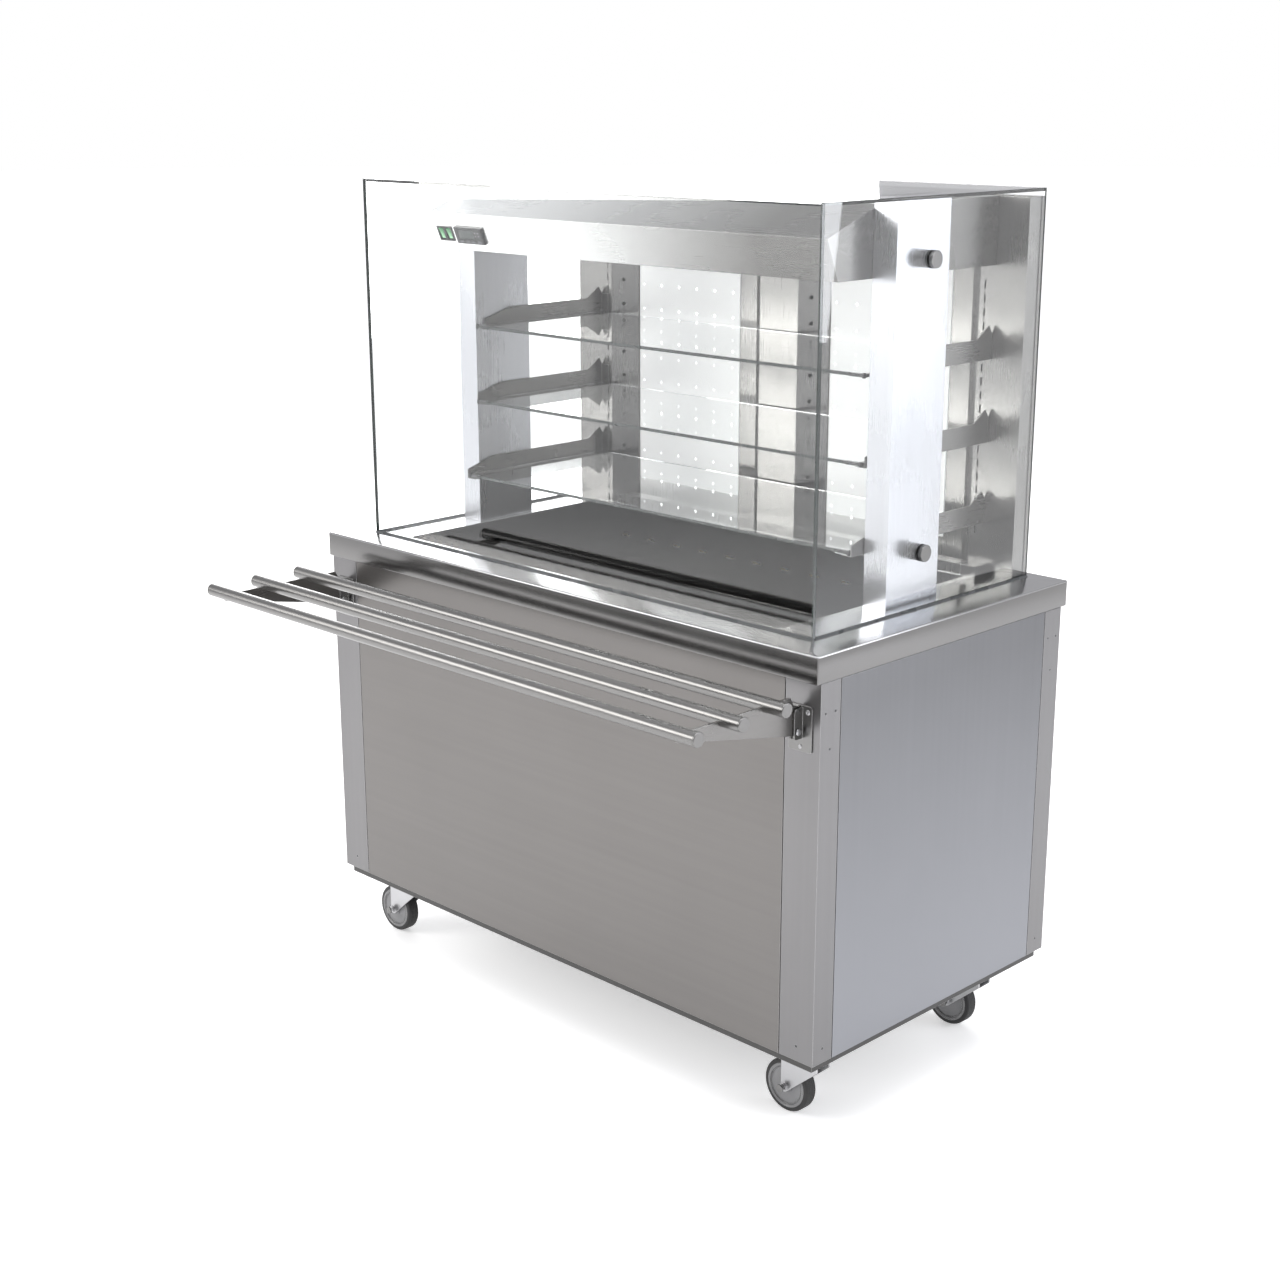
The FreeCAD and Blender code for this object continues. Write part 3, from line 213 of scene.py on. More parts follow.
def fillet_section(reach_a: Point, reach_b: Point, count: int = 7) -> Array:
    """Section of a bead in a corner: the corner and a hollow arc between its two legs.

    Args:
        reach_a: offset to the end of the first leg.
        reach_b: offset to the end of the second leg.
        count: points on the arc.

    Returns:
        Offsets from the corner.
    """
    a, b = np.asarray(reach_a, float), np.asarray(reach_b, float)
    t = np.linspace(0, math.pi / 2, count)[:, None]
    arc = a + b - a * np.sin(t) - b * np.cos(t)
    return np.vstack([np.zeros((1, 3)), arc])


def screw_head(centre: Point, axis: Axis, side: float, radius: float) -> Array:
    """Domed screw head with a cross recess, as a height over polar coordinates.

    The height is a shallow dome less a cross: the recess is where the nearer of the two in-plane
    coordinates is small and the distance from the middle is under two thirds of the radius.

    Args:
        centre: middle of the head's seat.
        axis: direction the head faces along.
        side: 1 or -1, the way it faces.
        radius: the head's radius.

    Returns:
        A closed grid of points.
    """
    share = np.concatenate([[0, 0.08], np.linspace(0.14, 0.96, 10), [1, 1, 0]])[:, None]
    angle = np.linspace(0, 2 * math.pi, 48, endpoint=False)[None, :]
    u, v = share * np.cos(angle), share * np.sin(angle)
    dome = 0.42 * np.sqrt(np.clip(1.15 - share ** 2, 0, None)) * np.ones_like(angle)
    cross = np.clip((0.17 - np.minimum(np.abs(u), np.abs(v))) / 0.06, 0, 1)
    cross = cross * np.clip((0.62 - share) / 0.1, 0, 1)
    height = dome - 0.26 * cross
    height[-2:] = 0
    along, first, second = axis.value
    grid = np.zeros(u.shape + (3,))
    grid[..., along] = side * radius * height
    grid[..., first] = radius * u
    grid[..., second] = radius * v
    return grid + np.asarray(centre, float)


class Skin:
    """Gathers grids of points and makes them one mesh object."""

    def __init__(self) -> None:
        """Start with nothing in the mesh."""
        self.points: list[Array] = []
        self.faces: list[Array] = []
        self.count = 0

    def add(self, *grids: Array) -> Skin:
        """Add grids that close on themselves across their columns.

        Args:
            grids: arrays of rows by columns by three.

        Returns:
            This skin, so that calls can follow each other.
        """
        for grid in grids:
            rows, cols = grid.shape[:2]
            index = np.arange(rows * cols).reshape(rows, cols) + self.count
            across = np.roll(index, -1, axis=1)
            quads = np.stack([index[:-1], across[:-1], across[1:], index[1:]], axis=-1)
            self.points.append(grid.reshape(-1, 3))
            self.faces.append(quads.reshape(-1, 4))
            self.count += rows * cols
        return self

    def build(self, name: str, flat: bool = False) -> bpy.types.Object:
        """Make the object, with its seams and poles closed and its faces pointing outwards.

        Args:
            name: name of the object.
            flat: keep the faces flat, for pieces with sharp edges.

        Returns:
            The new object, linked to the scene.
        """
        mesh = bpy.data.meshes.new(name)
        mesh.from_pydata((np.vstack(self.points) * MM).tolist(), [], np.vstack(self.faces).tolist())
        work = bmesh.new()
        work.from_mesh(mesh)
        bmesh.ops.remove_doubles(work, verts=work.verts, dist=2e-6)
        bmesh.ops.dissolve_degenerate(work, edges=work.edges, dist=1e-7)
        bmesh.ops.recalc_face_normals(work, faces=work.faces)
        work.to_mesh(mesh)
        work.free()
        if not flat:
            mesh.shade_smooth()
            mesh.set_sharp_from_angle(angle=math.radians(38))
        piece = bpy.data.objects.new(name, mesh)
        bpy.context.scene.collection.objects.link(piece)
        return piece


# --- node trees -------------------------------------------------------------------------------


class Tree:
    """Short ways to add and join nodes in one tree."""

    def __init__(self, tree: bpy.types.NodeTree) -> None:
        """Take the tree to work in."""
        self.tree = tree

    def add(self, kind: str, inputs: dict[Any, Any] | None = None, **settings: Any) -> bpy.types.Node:
        """Add a node.

        Args:
            kind: Blender's name of the node type.
            inputs: a number, colour or output socket for each input, by name or place.
            settings: properties of the node itself.

        Returns:
            The node.
        """
        node = self.tree.nodes.new(kind)
        for key, value in settings.items():
            setattr(node, key, value)
        for key, value in (inputs or {}).items():
            if isinstance(value, bpy.types.NodeSocket):
                self.tree.links.new(value, node.inputs[key])
            else:
                node.inputs[key].default_value = value
        return node

    def math(self, operation: str, a: Any, b: Any = 0.0) -> bpy.types.NodeSocket:
        """Result of a Math node on two values or sockets."""
        return self.add("ShaderNodeMath", {0: a, 1: b}, operation=operation).outputs[0]

    def span(self, value: Any, low: float, high: float, to_low: float, to_high: float) -> bpy.types.NodeSocket:
        """Result of a Map Range node that clamps at both ends."""
        ins = {"Value": value, "From Min": low, "From Max": high, "To Min": to_low, "To Max": to_high}
        return self.add("ShaderNodeMapRange", ins).outputs["Result"]

    def blend(self, share: Any, first: Any, second: Any) -> bpy.types.NodeSocket:
        """Colour that goes from the first to the second by a share."""
        node = self.add("ShaderNodeMix", {"Factor": share}, data_type="RGBA")
        for place, value in ((6, first), (7, second)):
            if isinstance(value, bpy.types.NodeSocket):
                self.tree.links.new(value, node.inputs[place])
            else:
                node.inputs[place].default_value = (*value[:3], 1)
        return node.outputs[2]

    def place(self) -> bpy.types.NodeSocket:
        """The Object coordinates."""
        return self.add("ShaderNodeTexCoord").outputs["Object"]


class Effects:
    """Node groups that several finishes share, each built once."""

    def __init__(self) -> None:
        """Build every group."""
        self.grain = self._grain()
        self.edge = self._edge()
        self.wear = self._wear()

    @staticmethod
    def _new(name: str, inputs: Iterable[tuple[str, str]], outputs: Iterable[tuple[str, str]]) -> tuple:
        """Start a group.

        Args:
            name: its name.
            inputs: (name, socket type) of each input.
            outputs: (name, socket type) of each output.

        Returns:
            The group, its tree helper, its input node and its output node.
        """
        group = bpy.data.node_groups.new(name, "ShaderNodeTree")
        for label, kind in inputs:
            group.interface.new_socket(name=label, in_out="INPUT", socket_type=kind)
        for label, kind in outputs:
            group.interface.new_socket(name=label, in_out="OUTPUT", socket_type=kind)
        tree = Tree(group)
        return group, tree, tree.add("NodeGroupInput"), tree.add("NodeGroupOutput")

    def _grain(self) -> bpy.types.NodeTree:
        """Drawn-out noise: fine lines and broader streaks that run along a sheet's grain."""
        group, tree, source, result = self._new(
            "drawn_grain", [("Vector", "NodeSocketVector"), ("Stretch", "NodeSocketVector")],
            [("Lines", "NodeSocketFloat"), ("Streaks", "NodeSocketFloat")])
        drawn = tree.add("ShaderNodeVectorMath", {0: source.outputs["Vector"], 1: source.outputs["Stretch"]},
                         operation="MULTIPLY").outputs[0]
        lines = tree.add("ShaderNodeTexNoise", {"Vector": drawn, "Scale": 1.0, "Detail": 3.0,
                                                "Roughness": 0.65})
        streaks = tree.add("ShaderNodeTexNoise", {"Vector": drawn, "Scale": 0.16, "Detail": 3.0})
        tree.tree.links.new(tree.span(lines.outputs[0], 0.25, 0.75, 0, 1), result.inputs["Lines"])
        tree.tree.links.new(tree.span(streaks.outputs[0], 0.3, 0.7, 0, 1), result.inputs["Streaks"])
        return group

    def _edge(self) -> bpy.types.NodeTree:
        """Rounded edges: the bevelled normal, and how far it leaves the flat one."""
        group, tree, source, result = self._new(
            "folded_edge", [("Radius", "NodeSocketFloat")],
            [("Normal", "NodeSocketVector"), ("Edge", "NodeSocketFloat")])
        round_off = tree.add("ShaderNodeBevel", {"Radius": source.outputs["Radius"]}, samples=4).outputs[0]
        flat = tree.add("ShaderNodeNewGeometry").outputs["Normal"]
        dot = tree.add("ShaderNodeVectorMath", {0: round_off, 1: flat},
                       operation="DOT_PRODUCT").outputs["Value"]
        tree.tree.links.new(round_off, result.inputs["Normal"])
        tree.tree.links.new(tree.span(dot, 1.0, 0.85, 0, 1), result.inputs["Edge"])
        return group

    def _wear(self) -> bpy.types.NodeTree:
        """Handling marks: soft smudges, and dust that settles on faces that look up."""
        group, tree, source, result = self._new(
            "handling_marks", [("Vector", "NodeSocketVector"), ("Scale", "NodeSocketFloat")],
            [("Smudge", "NodeSocketFloat"), ("Dust", "NodeSocketFloat")])
        ins = {"Vector": source.outputs["Vector"], "Scale": source.outputs["Scale"], "Detail": 4.0}
        cloud = tree.add("ShaderNodeTexNoise", ins).outputs[0]
        speck = tree.add("ShaderNodeTexNoise", {"Vector": source.outputs["Vector"], "Scale": 900.0,
                                                "Detail": 1.0})
        facing = tree.add("ShaderNodeSeparateXYZ", {0: tree.add("ShaderNodeNewGeometry").outputs["Normal"]})
        up = tree.span(facing.outputs["Z"], 0.3, 1.0, 0, 1)
        dust = tree.math("MULTIPLY", tree.span(speck.outputs[0], 0.55, 0.75, 0, 1), up)
        tree.tree.links.new(tree.span(cloud, 0.4, 0.7, 0, 1), result.inputs["Smudge"])
        tree.tree.links.new(dust, result.inputs["Dust"])
        return group

    @staticmethod
    def use(tree: Tree, group: bpy.types.NodeTree, **inputs: Any) -> bpy.types.Node:
        """Place a group in a tree with its own values.

        Args:
            tree: where to place it.
            group: the group.
            inputs: its inputs by name.

        Returns:
            The group node.
        """
        node = tree.add("ShaderNodeGroup", node_tree=group)
        for key, value in inputs.items():
            if isinstance(value, bpy.types.NodeSocket):
                tree.tree.links.new(value, node.inputs[key])
            else:
                node.inputs[key].default_value = value
        return node


# --- finishes ---------------------------------------------------------------------------------


class Grain(Enum):
    """Which way a sheet's grain runs, as the stretch of its noise along X, Y and Z."""

    ALONG_X = (6.0, 520.0, 520.0)
    ALONG_Y = (520.0, 6.0, 520.0)
    ALONG_Z = (520.0, 520.0, 6.0)
    CAST = (240.0, 240.0, 240.0)


@dataclass(frozen=True)
class Finish:
    """A named finish."""

    name: str

    def start(self) -> tuple[bpy.types.Material, Tree, bpy.types.Node]:
        """Make an empty material with one surface shader.

        Returns:
            The material, its tree helper and its shader.
        """
        material = bpy.data.materials.new(self.name)
        material.use_nodes = True
        tree = Tree(material.node_tree)
        return material, tree, material.node_tree.nodes["Principled BSDF"]

    def build(self, effects: Effects) -> bpy.types.Material:
        """Make the material; each kind of finish has its own way."""
        raise NotImplementedError


@dataclass(frozen=True)
class Steel(Finish):
    """Satin brushed sheet metal: grain, soft streaks, smudges, and a painted highlight along folded edges."""

    colour: Colour = (0.42, 0.415, 0.41)
    roughness: float = 0.3
    grain: Grain = Grain.ALONG_X
    depth: float = 0.02
    edge_radius: float = 0.0012
    painted_edge_highlight: float = 0.5
    grazing: float = 1.0

    def build(self, effects: Effects) -> bpy.types.Material:
        """Colour follows streaks and a painted highlight on edges, roughness follows lines and smudges."""
        material, tree, shader = self.start()
        place = tree.place()
        grain = effects.use(tree, effects.grain, Vector=place, Stretch=self.grain.value)
        edge = effects.use(tree, effects.edge, Radius=self.edge_radius)
        marks = effects.use(tree, effects.wear, Vector=place, Scale=5.0)
        dark = tuple(0.975 * c for c in self.colour)
        light = tuple(min(1.0, 1.025 * c) for c in self.colour)
        # Painted highlight: rounded edges are blended towards this lighter colour.
        bright = tuple(min(1.0, c + self.painted_edge_highlight * (1 - c)) for c in self.colour)
        sheet = tree.blend(tree.math("MULTIPLY", grain.outputs["Streaks"], 0.8), dark, light)
        sheet = tree.blend(tree.math("MULTIPLY", edge.outputs["Edge"], 0.6), sheet, bright)
        rough = tree.math("MULTIPLY_ADD", grain.outputs["Lines"], 0.025)
        rough.node.inputs[2].default_value = self.roughness - 0.05
        rough = tree.math("ADD", rough, tree.math("MULTIPLY", marks.outputs["Smudge"], 0.05))
        bump = tree.add("ShaderNodeBump", {"Strength": self.depth, "Distance": 0.0004,
                                           "Height": grain.outputs["Lines"], "Normal": edge.outputs["Normal"]})
        for key, value in (("Base Color", sheet), ("Roughness", rough), ("Normal", bump.outputs[0])):
            tree.tree.links.new(value, shader.inputs[key])
        shader.inputs["Metallic"].default_value = 1.0
        shader.inputs["Specular Tint"].default_value = (self.grazing, self.grazing, self.grazing, 1)
        return material


@dataclass(frozen=True)
class PaintedLightFade:
    """Painted reflection and shade along one axis: `colour` at `start`, nothing left of it at `end`."""

    axis: str
    start: float
    end: float
    colour: Colour


@dataclass(frozen=True)
class PaintedLightSteel(Steel):
    """Steel with painted reflections and shade: broad changes of tone, as large sheets show in a bright room.
    """

    painted_fades: tuple[PaintedLightFade, ...] = ()

    def build(self, effects: Effects) -> bpy.types.Material:
        """The steel of its parent, with each painted fade blended over it in turn."""
        material = super().build(effects)
        tree = Tree(material.node_tree)
        shader = material.node_tree.nodes["Principled BSDF"]
        tone = shader.inputs["Base Color"].links[0].from_socket
        where = tree.add("ShaderNodeSeparateXYZ", {0: tree.place()})
        for fade in self.painted_fades:
            share = tree.span(where.outputs[fade.axis], fade.start, fade.end, 1, 0)
            tone = tree.blend(share, tone, fade.colour)
        tree.tree.links.new(tone, shader.inputs["Base Color"])
        return material


@dataclass(frozen=True)
class Coat(Finish):
    """Opaque plastic, rubber, foam or paint with a fine surface texture."""

    colour: Colour = (0.05, 0.05, 0.05)
    second: Colour = (0.07, 0.07, 0.07)
    roughness: float = 0.45
    texture: float = 900.0
    depth: float = 0.1
    clear: float = 0.0
    glow: float = 0.0

    def build(self, effects: Effects) -> bpy.types.Material:
        """Colour drifts between two tones, with a painted highlight on rounded edges, dust on top and a fine
        pebbled bump.
        """
        material, tree, shader = self.start()
        place = tree.place()
        marks = effects.use(tree, effects.wear, Vector=place, Scale=12.0)
        edge = effects.use(tree, effects.edge, Radius=0.0006)
        tone = tree.blend(marks.outputs["Smudge"], self.colour, self.second)
        # Painted highlight: rounded edges are blended towards this paler tone.
        pale = tuple(min(1.0, 1.25 * c + 0.04) for c in self.second)
        tone = tree.blend(tree.math("MULTIPLY", edge.outputs["Edge"], 0.35), tone, pale)
        tone = tree.blend(tree.math("MULTIPLY", marks.outputs["Dust"], 0.12), tone, (0.5, 0.48, 0.45))
        pebble = tree.add("ShaderNodeTexNoise", {"Vector": place, "Scale": self.texture, "Detail": 2.0})
        bump = tree.add("ShaderNodeBump", {"Strength": self.depth, "Distance": 0.0003,
                                           "Height": pebble.outputs[0], "Normal": edge.outputs["Normal"]})
        rough = tree.span(marks.outputs["Smudge"], 0, 1, self.roughness, min(1.0, self.roughness + 0.12))
        for key, value in (("Base Color", tone), ("Roughness", rough), ("Normal", bump.outputs[0])):
            tree.tree.links.new(value, shader.inputs[key])
        shader.inputs["Coat Weight"].default_value = self.clear
        if self.glow:
            tree.tree.links.new(tone, shader.inputs["Emission Color"])
            shader.inputs["Emission Strength"].default_value = self.glow
        return material


@dataclass(frozen=True)
class Pane(Finish):
    """Clear toughened glass that lets lamps through."""

    colour: Colour = (0.985, 0.995, 0.992)
    roughness: float = 0.0
    shine: float = 0.12

    def build(self, effects: Effects) -> bpy.types.Material:
        """Smooth glass, a little greyer where dust settles."""
        material, tree, shader = self.start()
        place = tree.place()
        marks = effects.use(tree, effects.wear, Vector=place, Scale=3.0)
        tint = tree.blend(marks.outputs["Dust"], self.colour, tuple(0.985 * c for c in self.colour))
        tree.tree.links.new(tint, shader.inputs["Base Color"])
        shader.inputs["Roughness"].default_value = self.roughness
        shader.inputs["Metallic"].default_value = 0.0
        shader.inputs["IOR"].default_value = 1.45
        shader.inputs["Specular IOR Level"].default_value = self.shine
        shader.inputs["Transmission Weight"].default_value = 1.0
        clear = tree.add("ShaderNodeBsdfTransparent", {"Color": (*self.colour, 1)})
        lamp_ray = tree.add("ShaderNodeLightPath").outputs["Is Shadow Ray"]
        mix = tree.add("ShaderNodeMixShader", {0: lamp_ray, 1: shader.outputs[0], 2: clear.outputs[0]})
        tree.tree.links.new(mix.outputs[0], tree.tree.nodes["Material Output"].inputs["Surface"])
        return material


@dataclass(frozen=True)
class PaintedLightPlastic(Finish):
    """Coloured plastic with painted light and shade: pale at one corner and deep at the other across a small
    piece.
    """

    centre: Point = (0, 0, 0)
    pale: Colour = (0.4, 0.75, 0.45)
    painted_shade_colour: Colour = (0.004, 0.2, 0.04)
    reach: float = 11.0

    def build(self, effects: Effects) -> bpy.types.Material:
        """The painted light and shade follow height and distance along X about the piece's middle."""
        material, tree, shader = self.start()
        moved = tree.add("ShaderNodeMapping", {"Vector": tree.place(),
                                               "Location": tuple(-c * MM for c in self.centre)})
        parts = tree.add("ShaderNodeSeparateXYZ", {0: moved.outputs[0]})
        rise = tree.math("ADD", parts.outputs["Z"], tree.math("MULTIPLY", parts.outputs["X"], 0.8))
        share = tree.span(rise, -self.reach * MM, self.reach * MM * 0.4, 0, 1)
        tree.tree.links.new(tree.blend(share, self.pale, self.painted_shade_colour), shader.inputs["Base Color"])
        edge = effects.use(tree, effects.edge, Radius=0.0005)
        tree.tree.links.new(edge.outputs["Normal"], shader.inputs["Normal"])
        shader.inputs["Roughness"].default_value = 0.22
        shader.inputs["Coat Weight"].default_value = 0.4
        return material


# The front and side sheets are one steel: the warm front and the cool bluish side are painted reflection tints.
# The side's fade is a painted reflection of the floor, lighter towards the bottom.
FRONT_STEEL = Steel("front_steel", (0.172, 0.165, 0.16), 0.34, Grain.ALONG_X)
SIDE_STEEL = PaintedLightSteel("side_steel", (0.17, 0.172, 0.18), 0.34, Grain.ALONG_Z, grazing=0.7,
                   painted_fades=(PaintedLightFade("Z", 0.2, 0.8, (0.27, 0.275, 0.295)),))
POST_STEEL = Steel("corner_steel", (0.2, 0.197, 0.2), 0.33, Grain.ALONG_Z)
# Worktop: painted shade darkens everything below the top face, and a strong painted highlight lightens its
# edges.
TOP_STEEL = PaintedLightSteel("worktop_steel", (0.42, 0.42, 0.425), 0.2, Grain.ALONG_X, depth=0.01, edge_radius=0.002,
                  painted_edge_highlight=0.8, painted_fades=(PaintedLightFade("Z", 0.8915, 0.8925, (0.19, 0.187, 0.185)),))
# The well's near-black colour is painted shade in the deep well.
WELL_STEEL = Steel("well_steel", (0.035, 0.034, 0.034), 0.24, Grain.ALONG_X, depth=0.01, grazing=0.12)
BRIGHT_STEEL = Steel("bright_steel", (0.6, 0.605, 0.64), 0.3, Grain.ALONG_Z, depth=0.003)
# Hood: painted reflection of the bright room, near white at the left end.
HOOD_STEEL = PaintedLightSteel("hood_steel", (0.2, 0.195, 0.19), 0.3, Grain.ALONG_X, depth=0.003,
                   painted_fades=(PaintedLightFade("X", -0.5, 0.35, (0.98, 0.98, 0.98)),))
WALL_STEEL = Steel("upright_steel", (0.28, 0.274, 0.268), 0.28, Grain.ALONG_Z, depth=0.004)
BRACKET_STEEL = Steel("bracket_steel", (0.2, 0.195, 0.19), 0.3, Grain.ALONG_Y)
TUBE_STEEL = Steel("tube_steel", (0.2, 0.197, 0.194), 0.3, Grain.ALONG_X, depth=0.004, painted_edge_highlight=0.2)
FITTING_STEEL = Steel("fitting_steel", (0.2, 0.198, 0.195), 0.3, Grain.CAST, depth=0.01)
TRAY_STEEL = Steel("base_steel", (0.085, 0.084, 0.083), 0.45, Grain.ALONG_X)
ZINC = Steel("zinc_plate", (0.46, 0.46, 0.47), 0.36, Grain.CAST, depth=0.08)
FINS = Steel("fin_aluminium", (0.72, 0.73, 0.75), 0.4, Grain.ALONG_Z)
BRASS = Steel("valve_brass", (0.62, 0.46, 0.2), 0.32, Grain.CAST)
# The doors' glow is painted light: they are no lamp.
DOOR_PAINT = Coat("door_paint", (0.92, 0.92, 0.925), (0.95, 0.95, 0.955), 0.3, 1400.0, 0.04,
                  clear=0.2, glow=0.3)
DIFFUSER = Coat("lamp_diffuser", (0.8, 0.8, 0.78), (0.86, 0.86, 0.84), 0.5, 700.0, 0.05)
BLACK_PLASTIC = Coat("black_plastic", (0.012, 0.012, 0.014), (0.02, 0.02, 0.022), 0.3, 1200.0, 0.08,
                     clear=0.15)
KEY_PLASTIC = Coat("key_plastic", (0.11, 0.11, 0.12), (0.15, 0.15, 0.16), 0.4, 1500.0, 0.08)
DIGIT_GREY = Coat("digit_grey", (0.33, 0.34, 0.35), (0.4, 0.4, 0.42), 0.4, 900.0, 0.02, glow=0.12)
TREAD_RUBBER = Coat("tread_rubber", (0.016, 0.016, 0.017), (0.03, 0.029, 0.028), 0.55, 700.0, 0.25)
GASKET_RUBBER = Coat("gasket_rubber", (0.01, 0.01, 0.01), (0.02, 0.02, 0.02), 0.5, 800.0, 0.1)
WHEEL_PLASTIC = Coat("wheel_plastic", (0.2, 0.2, 0.205), (0.25, 0.25, 0.255), 0.42, 1000.0, 0.12)
SHELL_PAINT = Coat("shell_paint", (0.015, 0.015, 0.016), (0.025, 0.025, 0.026), 0.35, 400.0, 0.15)
FOAM = Coat("duct_foam", (0.62, 0.52, 0.3), (0.72, 0.62, 0.4), 0.9, 260.0, 0.6)
RED_GRIP = Coat("red_grip", (0.5, 0.03, 0.02), (0.58, 0.05, 0.03), 0.4, 900.0, 0.1)
SEALANT = Coat("edge_sealant", (0.05, 0.055, 0.058), (0.08, 0.085, 0.088), 0.25, 500.0, 0.05)
EDGE_DARK = Coat("glass_edge", (0.012, 0.02, 0.018), (0.02, 0.03, 0.028), 0.12, 300.0, 0.02, clear=0.5)
CLEAR_GLASS = Pane("canopy_glass")
CLIP_CLEAR = Pane("clip_clear", (0.93, 0.95, 0.95), 0.05)


class Maker:
    """Makes finishes once, dresses CAD nodes and turns skins into pieces on a body."""

    def __init__(self, nodes: dict[str, bpy.types.Object]) -> None:
        """Take the frame's nodes and build the shared effects."""
        self.nodes = nodes
        self.effects = Effects()
        self.made: dict[str, bpy.types.Material] = {}
        self.left = set(nodes)

    def material(self, finish: Finish) -> bpy.types.Material:
        """The material of a finish, built the first time it is asked for."""
        if finish.name not in self.made:
            self.made[finish.name] = finish.build(self.effects)
        return self.made[finish.name]

    def dress(self, finish: Finish, *nodes: str) -> None:
        """Give CAD nodes a finish.

        Args:
            finish: the finish.
            nodes: names of the nodes.
        """
        for name in nodes:
            node = self.nodes[name]
            if not node.material_slots:
                node.data.materials.append(None)
            for slot in node.material_slots:
                slot.material = self.material(finish)
            self.left.discard(name)
            log.info("dressed %s as %s", name, finish.name)

    def piece(self, name: str, skin: Skin, finish: Finish, body: str, slot: str,
              instead: Sequence[str] = (), flat: bool = False) -> bpy.types.Object:
        """Make a new piece.

        Args:
            name: its name.
            skin: its surfaces.
            finish: its finish.
            body: the body it rides on.
            slot: the record's material slot that it belongs to; not used.
            instead: CAD nodes that it stands for.
            flat: keep its faces flat.

        Returns:
            The object.
        """
        made = skin.build(name, flat)
        made.data.materials.append(self.material(finish))
        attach(made, body)
        if instead:
            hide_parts(*instead)
            self.left.difference_update(instead)
        log.info("made %s: %d faces", name, len(made.data.polygons))
        return made


# --- sub-assemblies ---------------------------------------------------------------------------


@dataclass
class LowerCabinet:
    """Body panels, base tray, worktop and the plugs in the corner posts' holes."""

    plug_r: float = 3.4
    plug_rise: float = 0.35
    plug_root: float = 0.8
    pair: float = 25.0
    pair_drop: float = 52.0
    single_drop: float = 115.0
    foot_rise: float = 27.0
    post_y: float = 50.0
    post_x: float = 75.0
    sheet: float = 2.0
    lip: float = 14.0
    fold_r: float = 2.5
    well_r: float = 12.0
    well_flange: float = 15.0
    well_sheet: float = 1.5

    def dress(self, maker: Maker) -> None:
        """Give each panel its sheet finish."""
        maker.dress(FRONT_STEEL, "front_panel", "rear_service_panel")
        maker.dress(SIDE_STEEL, "side_panel_left", "side_panel_right")
        maker.dress(POST_STEEL, "corner_posts_front", "corner_posts_rear")
        maker.dress(TRAY_STEEL, "base_tray")
        maker.dress(WELL_STEEL, "well_tub")

    def worktop(self, maker: Maker) -> None:
        """One folded sheet: loops carried from the well's edge over the top and round the skirt."""
        low, high = corners("countertop")
        tub_low, tub_high = corners("well_tub")
        grow = self.well_flange + self.well_sheet
        edge_low, edge_high = tub_low + grow, tub_high - grow
        top, foot, t, r = high[2], low[2], self.sheet, self.fold_r
        rows = [loop_path(edge_low, edge_high, 0, self.well_r, top - t),
                loop_path(edge_low, edge_high, 0, self.well_r, top - 0.5),
                loop_path(edge_low, edge_high, -0.5, self.well_r, top)]
        turn = np.linspace(0, math.pi / 2, 6)
        rows += [loop_path(low, high, r - r * math.sin(a), r, top - r + r * math.cos(a)) for a in turn]
        rows += [loop_path(low, high, 1.5 - 1.5 * math.cos(a), r, foot + 1.5 - 1.5 * math.sin(a)) for a in turn]
        rows += [loop_path(low, high, inset, r, z) for inset, z in
                 ((self.lip, foot), (self.lip, foot + t), (t, foot + t), (t, top - t))]
        rows.append(rows[0])
        maker.piece("worktop", Skin().add(np.stack(rows)), TOP_STEEL, "cabinet", "countertop",
                    instead=["countertop"])

    def plug(self, centre: Point, axis: Axis, side: float) -> Array:
        """A low domed plug over one hole: a quarter wave from its rim to its crown."""
        root, neck = -side * self.plug_root, self.plug_r * 0.7
        return lathe([(0, root), (neck, root), (neck, 0)] + dome(self.plug_r, side * self.plug_rise),
                     axis, centre, 24)

    def plugs(self, maker: Maker) -> None:
        """Plugs in the fixing holes of the four corner posts."""
        for row, step in (("front", 1), ("rear", -1)):
            low, high = corners("corner_posts_" + row)
            face = low[1] if step > 0 else high[1]
            skin = Skin()
            for side in (-1, 1):
                x = side * (high[0] - self.plug_rise * 1.4)
                middle = face + step * self.post_y / 2
                places = [(middle - self.pair / 2, high[2] - self.pair_drop),
                          (middle + self.pair / 2, high[2] - self.pair_drop),
                          (middle, high[2] - self.single_drop), (middle, low[2] + self.foot_rise)]
                skin.add(*(self.plug((x, y, z), Axis.X, side) for y, z in places))
                skin.add(self.plug((side * (high[0] - self.post_x / 2), face + step * self.plug_rise,
                                    low[2] + self.foot_rise), Axis.Y, -step))
            maker.piece("hole_plugs_" + row, skin, BLACK_PLASTIC, "cabinet", "corner_posts_" + row)


